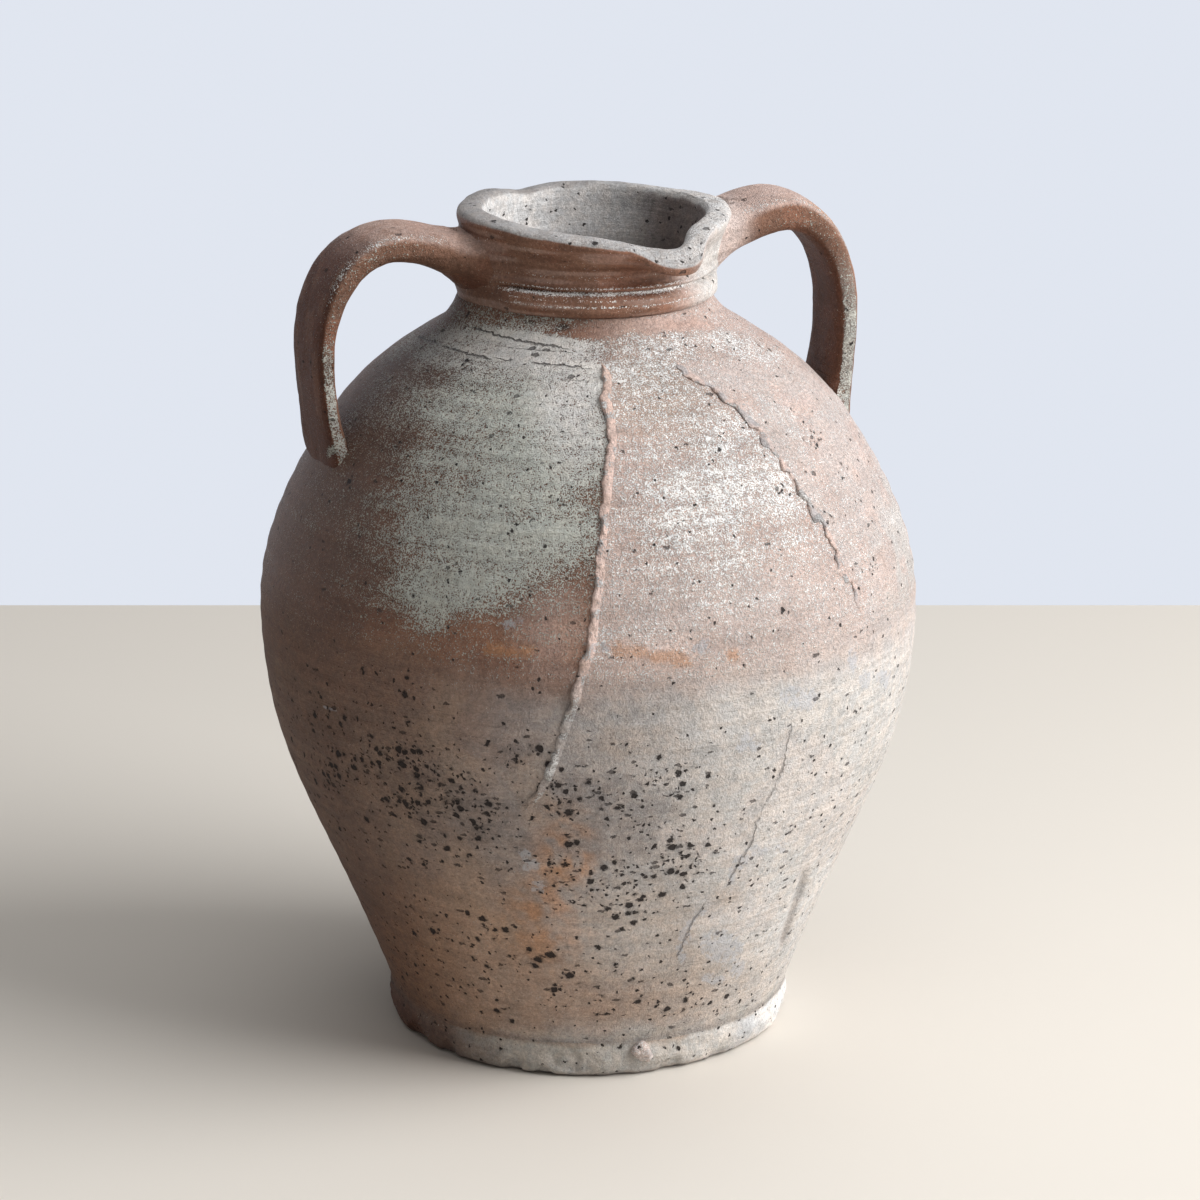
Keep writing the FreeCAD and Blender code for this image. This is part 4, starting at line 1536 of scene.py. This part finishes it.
@dataclass
class Foot:
    """Beaten floor slab whose chipped edge is the jar's foot."""

    columns: int = 128
    levels: int = 2
    profile: Outline = (
        (0.0, 0.0), (40.0, 0.0), (76.0, 0.0), (84.6, 0.0), (87.0, 0.8), (88.8, 2.8), (89.9, 6.0), (90.2, 9.5),
        (89.8, 13.0), (89.1, 16.0), (88.2, 18.4), (86.0, 19.6), (80.0, 18.4), (60.0, 17.0), (30.0, 17.0),
        (0.0, 17.0),
    )
    chips: tuple[Chip, ...] = (
        Chip(-60.0, 2.0, 5.0, 5.0, 1.95), Chip(-45.0, 1.0, 4.0, 6.0, 1.69), Chip(-22.0, 3.0, 3.2, 6.0, 1.69),
        Chip(-6.0, 9.0, 4.5, 6.0, 1.17), Chip(-13.0, 1.0, 3.0, 4.0, 1.43), Chip(24.0, 2.0, 4.0, 4.0, 1.17),
        Chip(41.0, 1.5, 3.5, 3.5, 1.04), Chip(75.0, 1.0, 6.0, 5.0, 1.43), Chip(118.0, 2.0, 5.0, 6.0, 1.69),
        Chip(160.0, 3.0, 6.0, 6.0, 1.56), Chip(-128.0, 2.0, 5.0, 6.0, 1.69))
    crease_height: float = 17.5

    def build(self) -> bpy.types.Object:
        """Models the slab with its chipped edge.

        Returns:
            The piece.
        """
        piece = Modeller.loft("foot", Modeller.turned(self.profile, self.columns))
        Modeller.refine(piece, self.levels)
        points = Modeller.points(piece)
        around = from_axis(points) + TINY
        turn = VIEW.turn(points)
        edge = smooth_step(76.0, 84.0, around)
        uneven = (0.7 * ripple(points, 40.0, 42) + 0.6 * ripple(points, 9.0, 43)
                  + 0.4 * ripple(points, 3.5, 44))
        grown = around + edge * uneven
        for chip in self.chips:
            aside = turn_gap(turn, chip.turn) / chip.half_width
            gap = np.hypot(aside, (points[:, 2] - chip.height) / chip.half_height)
            grown -= chip.depth * edge * smooth_step(1.15, 0.75, gap + 0.35 * ripple(points, 5.0, 45))
        points[:, :2] *= (grown / around)[:, None]
        lifted = edge * smooth_step(1.0, 12.0, points[:, 2]) * smooth_step(20.0, 17.0, points[:, 2])
        points[:, 2] += lifted * (0.8 * ripple(points, 26.0, 46) + 0.4 * ripple(points, 7.0, 47))
        points[:, 2] = np.maximum(points[:, 2], 0.0)
        Modeller.place(piece, points)
        return piece

    def dress(self, piece: bpy.types.Object, finish: bpy.types.Material) -> None:
        """Colours the slab and sets it in the frame.

        Args:
            piece: The modelled piece.
            finish: Its material.
        """
        points = Modeller.points(piece)
        height = points[:, 2]
        turn = VIEW.turn(points)
        uneven = turn + 20.0 * ripple(points, 12.0, 48)
        front = smooth_step(172.0, 120.0, turn)
        shaded = Chart(points).shaded
        made = Glaze.plain(len(points), Clay.TAUPE, Clay.BONE, 0.02, 0.16, 1.0)
        made.stain(Clay.PUTTY, 0.85 * smooth_step(-72.0, -22.0, uneven) * front)
        # paler right side: partly pale clay, partly painted light
        made.stain(Clay.CHALK, smooth_step(10.0, 55.0, uneven) * front)
        made.stain(Clay.CREAM, 0.9 * smooth_step(30.0, 60.0, uneven) * front)
        made.stain(Clay.SLATE, 0.35 * smooth_step(0.1, 0.5, ripple(points, 20.0, 49)))
        made.stain(Clay.TAN, 0.6 * smooth_step(14.0, 18.0, height + 3.0 * ripple(points, 9.0, 50)))
        # darker left side: partly dark clay, partly painted shade
        made.stain(Clay.UMBER, 0.9 * shaded)
        made.stain(Clay.SEPIA, 0.5 * shaded * smooth_step(17.0, 9.0, height))
        made.stain(Clay.UMBER, 0.55 * smooth_step(3.0, 0.0, height))
        # painted shade in the crease between the foot and the wall
        made.stain(Clay.SMOKE, 0.4 * bell(height - self.crease_height, 1.6))
        made.store(piece)
        Modeller.mount(piece, "foot_stoneware", ("base_slab",), finish)


@dataclass(frozen=True)
class Station:
    """Section of a strap: where its middle lies, its tilt in degrees and its sizes in millimetres."""

    out: float
    height: float
    tilt: float
    width: float
    depth: float


@dataclass
class Handle:
    """Pulled strap from the collar over its crown to the shoulder.

    A pair whose name ends in reach or heights is where on the strap a form begins and where it is full, in
    millimetres.
    """

    side: Side
    name: str
    node: str
    points_round: int = 28
    levels: int = 3
    root_squareness: float = 2.3
    squareness: float = 3.6
    twist: float = 0.0
    heavier: float = 1.0
    neck_radius: float = 53.0
    crown_drop: float = 0.0
    reach: float = 0.0
    free_reach: tuple[float, float] = (60.0, 89.0)
    bent_reach: tuple[float, float] = (70.0, 54.0)
    twist_reach: tuple[float, float] = (80.0, 112.0)
    crown_heights: tuple[float, float] = (280.0, 340.0)
    root_crust: Patch = Patch(341, 446, 9, 7)
    crown_pits: Patch = Patch(355, 265, 12, 10)
    stations: tuple[Station, ...] = (
        Station(51.5, 351.8, 0.0, 45.0, 21.0), Station(53.0, 352.0, 0.0, 44.6, 21.0),
        Station(56.0, 352.6, 3.0, 44.0, 20.2), Station(59.5, 354.0, 8.0, 43.2, 19.4),
        Station(63.5, 355.9, 13.0, 42.2, 18.4), Station(69.0, 358.4, 15.0, 41.0, 17.0),
        Station(77.0, 361.2, 11.0, 39.6, 15.4), Station(89.0, 362.8, -1.0, 38.4, 14.0),
        Station(98.0, 360.9, -20.0, 38.2, 13.0), Station(106.0, 356.6, -38.0, 38.0, 12.0),
        Station(113.0, 349.1, -54.0, 38.0, 11.0), Station(118.2, 339.3, -68.0, 38.0, 10.0),
        Station(121.2, 329.0, -80.0, 38.0, 9.4), Station(122.4, 319.0, -90.0, 38.0, 8.9),
        Station(122.4, 307.0, -94.0, 38.6, 8.7), Station(121.5, 296.0, -97.5, 39.6, 8.8),
        Station(120.0, 285.0, -101.0, 41.0, 9.2), Station(118.0, 276.0, -105.0, 43.5, 10.6),
        Station(115.6, 268.0, -108.0, 45.5, 11.4),
    )

    def ring(self, station: Station) -> np.ndarray:
        """Finds one section of the strap.

        Args:
            station: Place and size of the section.

        Returns:
            Points round it, in millimetres.
        """
        outwards = self.side.outwards
        free = smooth_step(*self.free_reach, station.out)
        turns = np.arange(self.points_round) * FULL_TURN / self.points_round
        power = 2.0 / (self.root_squareness + (self.squareness - self.root_squareness) * free)
        across = np.sign(np.cos(turns)) * np.abs(np.cos(turns)) ** power
        thick = np.sign(np.sin(turns)) * np.abs(np.sin(turns)) ** power
        aside = across * station.width / 2.0
        deep = thick * station.depth / 2.0 * (1.0 + (self.heavier - 1.0) * free)

        sunk = self.crown_drop * free * smooth_step(*self.crown_heights, station.height)
        middle = outwards * (station.out + self.reach * free) + UP * (station.height - sunk)
        turned = math.radians(self.twist) * smooth_step(*self.twist_reach, station.out)
        sideways = self.side.frontwards * math.cos(turned) + outwards * math.sin(turned)
        lean = math.radians(station.tilt)
        face = UP * math.cos(lean) - outwards * math.sin(lean)
        face = face - sideways * (face @ sideways)
        bent = self.neck_radius - np.sqrt(np.clip(self.neck_radius ** 2 - aside ** 2, 0.0, None))
        bent *= smooth_step(*self.bent_reach, station.out)
        return (middle + np.outer(aside, sideways) - np.outer(bent, outwards)
                + np.outer(deep, face / np.linalg.norm(face)))

    def build(self) -> bpy.types.Object:
        """Models the strap.

        Returns:
            The piece.
        """
        rings = [self.ring(station) for station in self.stations]
        piece = Modeller.loft(self.name, Modeller.capped(rings))
        Modeller.refine(piece, self.levels)
        points = Modeller.points(piece)
        uneven = (0.5 * ripple(points, 26.0, 51) + 0.16 * ripple(points, 6.0, 52)
                  + 0.08 * ripple(points, 2.5, 53))
        Modeller.place(piece, points + Modeller.normals(piece) * uneven[:, None])
        return piece

    def dress(self, piece: bpy.types.Object, finish: bpy.types.Material) -> None:
        """Glazes the strap and sets it in the frame.

        Args:
            piece: The modelled piece.
            finish: Its material.
        """
        points = Modeller.points(piece)
        normals = Modeller.normals(piece)
        height = points[:, 2]
        out = points @ self.side.outwards
        front = normals @ self.side.frontwards
        chart = Chart(points)
        flat = smooth_step(0.7, 0.93, front + 0.08 * ripple(points, 4.0, 54)) * smooth_step(68.0, 96.0, out)
        # pale ridge between near side and top: partly wear, partly painted highlight
        worn_and_highlit = (bell(front - 0.5, 0.3) * smooth_step(326.0, 350.0, height)
                * smooth_step(-0.3, 0.3, normals[:, 2]) * smooth_step(60.0, 74.0, out))
        low = smooth_step(352.0, 304.0, height + 6.0 * ripple(points, 14.0, 55))
        # top faces: rosier and paler below, partly glaze colour and partly painted light
        crown = smooth_step(0.2, 0.8, normals[:, 2])
        made = Glaze.plain(len(points), Clay.IRON, Clay.ASH, 0.06, 0.03, 0.25)
        # painted shade on faces that look down
        made.stain(Clay.UMBER, 0.5 * smooth_step(0.3, -0.3, normals[:, 2]))
        made.stain(Clay.BRICK, 0.6 * smooth_step(-0.1, 0.5, ripple(points, 15.0, 56)))
        made.stain(Clay.ROSE, 0.5 * crown)
        self.glaze_side(made, points, normals, flat * low)
        made.bloom(Clay.CREAM, np.maximum(worn_and_highlit, crown))
        made.coat(0.2, flat * (1.0 - low))
        made.coat(0.6, flat * low)
        made.bloom(Clay.PUTTY, 0.5 * flat * low)
        made.pock(0.07, flat * low)
        made.coat(0.4, 0.9 * worn_and_highlit)
        made.coat(0.62, chart.spread(self.root_crust))
        made.pock(0.3, 0.8 * chart.spread(self.crown_pits))
        made.store(piece)
        Modeller.mount(piece, "collar_stoneware", (self.node,), finish)

    def glaze_side(self, made: Glaze, points: np.ndarray, normals: np.ndarray, crust: np.ndarray) -> None:
        """Colours what sets one strap apart from the other, including painted shade on each strap's unlit
        face.

        Args:
            made: Glaze to work on.
            points: Places in millimetres.
            normals: Directions that the places face.
            crust: Share of the pale lower front.
        """
        outer = normals @ self.side.outwards
        grooves = ripple(points * np.array((1.0, 1.0, 0.08)), 3.0, 57)
        if self.side is Side.LEFT:
            # painted shade on the left strap's outward face, which looks away from the light
            made.stain(Clay.SEPIA, 0.92 * smooth_step(0.2, 0.8, outer))
            made.stain(Clay.IRON, 0.35 * smooth_step(0.1, 0.6, grooves))
            return
        edge = bell(normals @ self.side.frontwards - 0.38, 0.16)
        # painted shade on the right strap's inner face, which looks towards the jar
        made.stain(Clay.SEPIA, 0.6 * smooth_step(0.2, -0.6, outer))
        made.stain(Clay.PUTTY, 0.6 * crust * smooth_step(-0.3, 0.4, grooves))
        # rosier top faces: partly glaze colour, partly painted light
        made.stain(Clay.ROSE, 0.6 * smooth_step(0.2, 0.8, normals[:, 2]))
        made.stain(Clay.RUST, 0.7 * edge * smooth_step(0.3, 0.6, outer))
        made.stain(Clay.PEACH, 0.8 * smooth_step(76.0, 60.0, points @ self.side.outwards))


@dataclass
class GlazeRun:
    """Raised edge of a glaze run down the wall, steep on its left and gentle on its right.

    The section holds shares of the half width and of the rise, from left to right.
    """

    name: str
    node: str
    trail: Trail
    belly: Belly
    half_width: float = 1.5
    rise: float = 1.15
    step: float = 1.2
    beads: float = 1.0
    scallop: float = 0.7
    gaps: float = 0.25
    # strength of the grey dross on the crest and of the painted shadow beside the left side
    dross_and_shadow: float = 0.0
    glazed_from: float = 4.0
    smoothing: int = 7
    section: Outline = (
        (-1.05, -0.5), (-0.95, 0.45), (-0.55, 0.92), (0.0, 1.0), (0.6, 0.78), (1.1, 0.42), (1.6, 0.08),
        (2.1, -0.5))

    def path(self) -> np.ndarray:
        """Follows the trail over the uneven wall in even steps.

        Returns:
            Places in millimetres, one row each.
        """
        line = np.array([self.belly.surface(u, v) for u, v in self.trail.points])
        lengths = np.concatenate(((0.0,), np.cumsum(np.linalg.norm(np.diff(line, axis=0), axis=1))))
        stops = np.arange(0.0, lengths[-1], self.step)
        path = np.column_stack([np.interp(stops, lengths, column) for column in line.T])
        padded = np.pad(path, ((self.smoothing // 2,) * 2, (0, 0)), mode="edge")
        path = np.column_stack([smoothed(column, self.smoothing) for column in padded.T])
        seat = self.belly.radius_at(path[:, 2]) + self.belly.unevenness(path)
        path[:, :2] *= (seat / from_axis(path))[:, None]
        return path

    def axes(self, path: np.ndarray) -> tuple[np.ndarray, np.ndarray]:
        """Finds how the run lies on the wall.

        Args:
            path: Places along the run in millimetres.

        Returns:
            Directions off the wall, and directions across the run to its right.
        """
        along = np.gradient(path, axis=0)
        along /= np.linalg.norm(along, axis=1)[:, None]
        slope = (self.belly.radius_at(path[:, 2] + 1.0) - self.belly.radius_at(path[:, 2] - 1.0)) / 2.0
        outward = np.column_stack((path[:, :2] / from_axis(path)[:, None], -slope))
        outward /= np.linalg.norm(outward, axis=1)[:, None]
        across = np.cross(along, outward)
        return outward, across * np.sign(across @ VIEW.right)[:, None]

    def build(self) -> bpy.types.Object:
        """Models the run along its trail.

        Returns:
            The piece.
        """
        path = self.path()
        outward, across = self.axes(path)
        stops = np.arange(len(path)) * self.step
        tapers = np.minimum(smooth_step(0.0, 8.0, stops), smooth_step(0.0, 12.0, stops[-1] - stops))
        lumps = 1.0 + self.beads * (0.8 * ripple(path, 7.0, 61) + ripple(path, 2.6, 62))
        lumps *= 1.0 - self.gaps * smooth_step(0.0, 0.5, ripple(path, 11.0, 66))
        drift = self.scallop * (ripple(path, 6.0, 63) + 1.5 * ripple(path, 2.4, 64))
        shares, rises = np.array(self.section).T
        rings = []
        for place, out, aside, taper, lump, stray in zip(path, outward, across, tapers, lumps, drift):
            sideways = shares * self.half_width * (0.35 + 0.65 * taper) + stray * (shares < 0.5)
            upwards = rises * self.rise * np.where(rises > 0.0, taper * lump, 1.0)
            rings.append(place + np.outer(sideways, aside) + np.outer(upwards, out))
        piece = Modeller.loft(self.name, Modeller.capped(rings))
        Modeller.refine(piece, 1)
        return piece

    def dress(self, piece: bpy.types.Object, finish: bpy.types.Material) -> None:
        """Glazes the run like the wall on its right, with a smoother crest, and sets it in the frame.

        Args:
            piece: The modelled piece.
            finish: Its material.
        """
        points = Modeller.points(piece)
        chart = Chart(points)
        beside = chart.u - self.trail.column(chart.v)
        made = self.belly.glaze(points + VIEW.right * self.glazed_from)
        # pale crest: partly the run's own colour, partly painted highlight
        crest = smooth_step(9.0, 5.0, beside)
        made.coat(0.1, 0.8 * crest)
        made.stain(Clay.ROSE, 0.5 * crest * smooth_step(200.0, 215.0, points[:, 2]))
        made.coat(0.55, crest * smooth_step(0.1, 0.4, ripple(points, 4.0, 65)))
        made.bloom(Clay.BONE, crest)
        made.bare(0.05, crest)
        made.stain(Clay.SLATE, self.dross_and_shadow * crest * smooth_step(0.0, 0.4, ripple(points, 5.0, 67)))
        # painted shadow along the run's steep left side
        made.stain(Clay.SMOKE, 0.2 * self.dross_and_shadow * smooth_step(1.0, -3.0, beside))
        made.pit *= 0.3
        made.store(piece)
        Modeller.mount(piece, "run_glaze", (self.node,), finish)


@dataclass
class Wad:
    """Lump of kiln clay stuck to the foot's edge."""

    place: tuple[float, float, float] = (-9.5, -89.6, 12.0)
    size: tuple[float, float, float] = (8.5, 7.0, 9.5)

    def build(self) -> bpy.types.Object:
        """Models the lump.

        Returns:
            The piece.
        """
        bpy.ops.object.select_all(action="DESELECT")
        bpy.ops.mesh.primitive_ico_sphere_add(subdivisions=5, radius=0.5)
        piece = bpy.context.object
        piece.name = piece.data.name = "stuck_wad_lump"
        bpy.ops.object.shade_smooth()
        points = Modeller.points(piece) * MM * np.array(self.size)
        lumps = 1.0 + 0.35 * ripple(points, 4.0, 71) + 0.12 * ripple(points, 1.6, 72)
        Modeller.place(piece, points * lumps[:, None] + np.array(self.place))
        return piece

    def dress(self, piece: bpy.types.Object, finish: bpy.types.Material) -> None:
        """Colours the lump and sets it in the frame."""
        Glaze.plain(len(piece.data.vertices), Clay.PEACH, Clay.CREAM, 0.35, 0.06, 1.0).store(piece)
        Modeller.mount(piece, "kiln_clay", ("stuck_wad",), finish)


@dataclass
class Studio:
    """Pale floor, plain backdrop and soft light from the right, with lengths in metres."""

    floor_behind: float = 0.62
    floor_reach: float = 4.0
    floor_colour: Colour = (0.80, 0.755, 0.69, 1.0)
    floor_roughness: float = 0.8
    backdrop: Colour = (0.75, 0.79, 0.87, 1.0)
    ambient: Colour = (1.0, 0.96, 0.92, 1.0)
    ambient_strength: float = 0.12
    key_turn: float = 74.0
    key_rise: float = 32.0
    key_distance: float = 2.4
    key_size: float = 1.9
    key_power: float = 76.0
    key_aim: float = 0.18
    top_height: float = 2.2
    top_size: float = 2.4
    top_power: float = 17.0

    def floor(self) -> None:
        """Lays the floor."""
        bpy.ops.object.select_all(action="DESELECT")
        bpy.ops.mesh.primitive_plane_add(size=1.0)
        floor = bpy.context.object
        floor.name = "floor"
        corners = [VIEW.right * across + VIEW.ahead * deep for deep in (-self.floor_reach, self.floor_behind)
                   for across in (-self.floor_reach, self.floor_reach)]
        Modeller.place(floor, np.array(corners) / MM)
        material = bpy.data.materials.new("pale_floor")
        material.use_nodes = True
        graph = Graph(material.node_tree)
        surface = graph.value("ShaderNodeBsdfPrincipled", {},
                              {"Base Color": self.floor_colour, "Roughness": self.floor_roughness}, "BSDF")
        graph.node("ShaderNodeOutputMaterial", {}, {"Surface": surface})
        floor.data.materials.append(material)

    def world(self) -> None:
        """Sets the backdrop that is seen and the soft light that falls from all round."""
        world = bpy.data.worlds.new("studio")
        world.use_nodes = True
        graph = Graph(world.node_tree)
        path = graph.node("ShaderNodeLightPath", {}, {})
        camera, glossy, through = (Value(graph, path.outputs[f"Is {kind} Ray"])
                                   for kind in ("Camera", "Glossy", "Transmission"))
        light = graph.value("ShaderNodeBackground", {},
                            {"Color": self.ambient, "Strength": self.ambient_strength}, "Background")
        shown = graph.value("ShaderNodeBackground", {}, {"Color": self.backdrop}, "Background")
        mixed = graph.value("ShaderNodeMixShader", {},
                            {0: camera.over(glossy).over(through), 1: light, 2: shown}, "Shader")
        graph.node("ShaderNodeOutputWorld", {}, {"Surface": mixed})
        bpy.context.scene.world = world

    @staticmethod
    def lamp(name: str, size: float, power: float) -> bpy.types.Object:
        """Makes a square soft lamp that shines down its own axis.

        Args:
            name: Name of the lamp.
            size: Side in metres.
            power: Power in watts.

        Returns:
            The lamp.
        """
        data = bpy.data.lights.new(name, "AREA")
        data.shape = "SQUARE"
        data.size = size
        data.energy = power
        lamp = bpy.data.objects.new(name, data)
        bpy.context.scene.collection.objects.link(lamp)
        return lamp

    def lamps(self) -> None:
        """Hangs the large window lamp on the right and the weak one overhead."""
        window = self.lamp("window", self.key_size, self.key_power)
        turn = VIEW.azimuth + math.radians(self.key_turn)
        rise = math.radians(self.key_rise)
        aim = np.array((math.sin(turn) * math.cos(rise), -math.cos(turn) * math.cos(rise), math.sin(rise)))
        window.location = aim * self.key_distance + UP * self.key_aim
        window.rotation_euler = (math.pi / 2.0 - rise, 0.0, turn)
        overhead = self.lamp("overhead", self.top_size, self.top_power)
        overhead.location = UP * self.top_height

    def set_up(self) -> None:
        """Makes the whole studio."""
        self.floor()
        self.world()
        self.lamps()
        bpy.context.scene.view_settings.view_transform = "Standard"


def main() -> None:
    """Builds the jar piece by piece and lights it."""
    logging.basicConfig(level=logging.INFO, format="%(name)s: %(message)s")
    belly = Belly()
    parts = (
        (belly, StonewareFinish("salt_glaze")),
        (Neck(), StonewareFinish("collar_glaze", gloss_roughness=0.42, relief=0.0008, ring_tone=0.8)),
        (Foot(), StonewareFinish("bare_foot", relief=0.0011)),
        (Handle(Side.LEFT, "left_strap", "left_handle", crown_drop=0.2, reach=0.9, twist=-5.5),
         StonewareFinish("left_strap_glaze", gloss_roughness=0.5, sheen=0.15)),
        (Handle(Side.RIGHT, "right_strap", "right_handle", crown_drop=-0.6, reach=1.0, twist=-8.0,
                heavier=1.25),
         StonewareFinish("right_strap_glaze", gloss_roughness=0.5, sheen=0.15)),
        (GlazeRun("front_run", "front_glaze_run", belly.front_run, belly),
         StonewareFinish("front_run_glaze")),
        (GlazeRun("right_run", "right_glaze_run", belly.right_run, belly, half_width=1.4, rise=0.7, beads=1.3,
                  scallop=1.7, gaps=0.55, dross_and_shadow=0.7),
         StonewareFinish("right_run_glaze")),
        (Wad(), StonewareFinish("kiln_clay", relief=0.0011)),
    )
    built = [part.build() for part, _ in parts]
    wall, collar, slab, left, right = built[:5]
    for strap in (left, right):
        Modeller.weld(collar, strap, COLLAR_FILLET)
        Modeller.weld(wall, strap, WALL_FILLET)
    Modeller.weld(wall, slab, FOOT_FILLET)
    for (part, finish), piece in zip(parts, built):
        part.dress(piece, finish.build())

    Studio().set_up()
    VIEW.set_up()


if __name__ == "__main__":
    main()
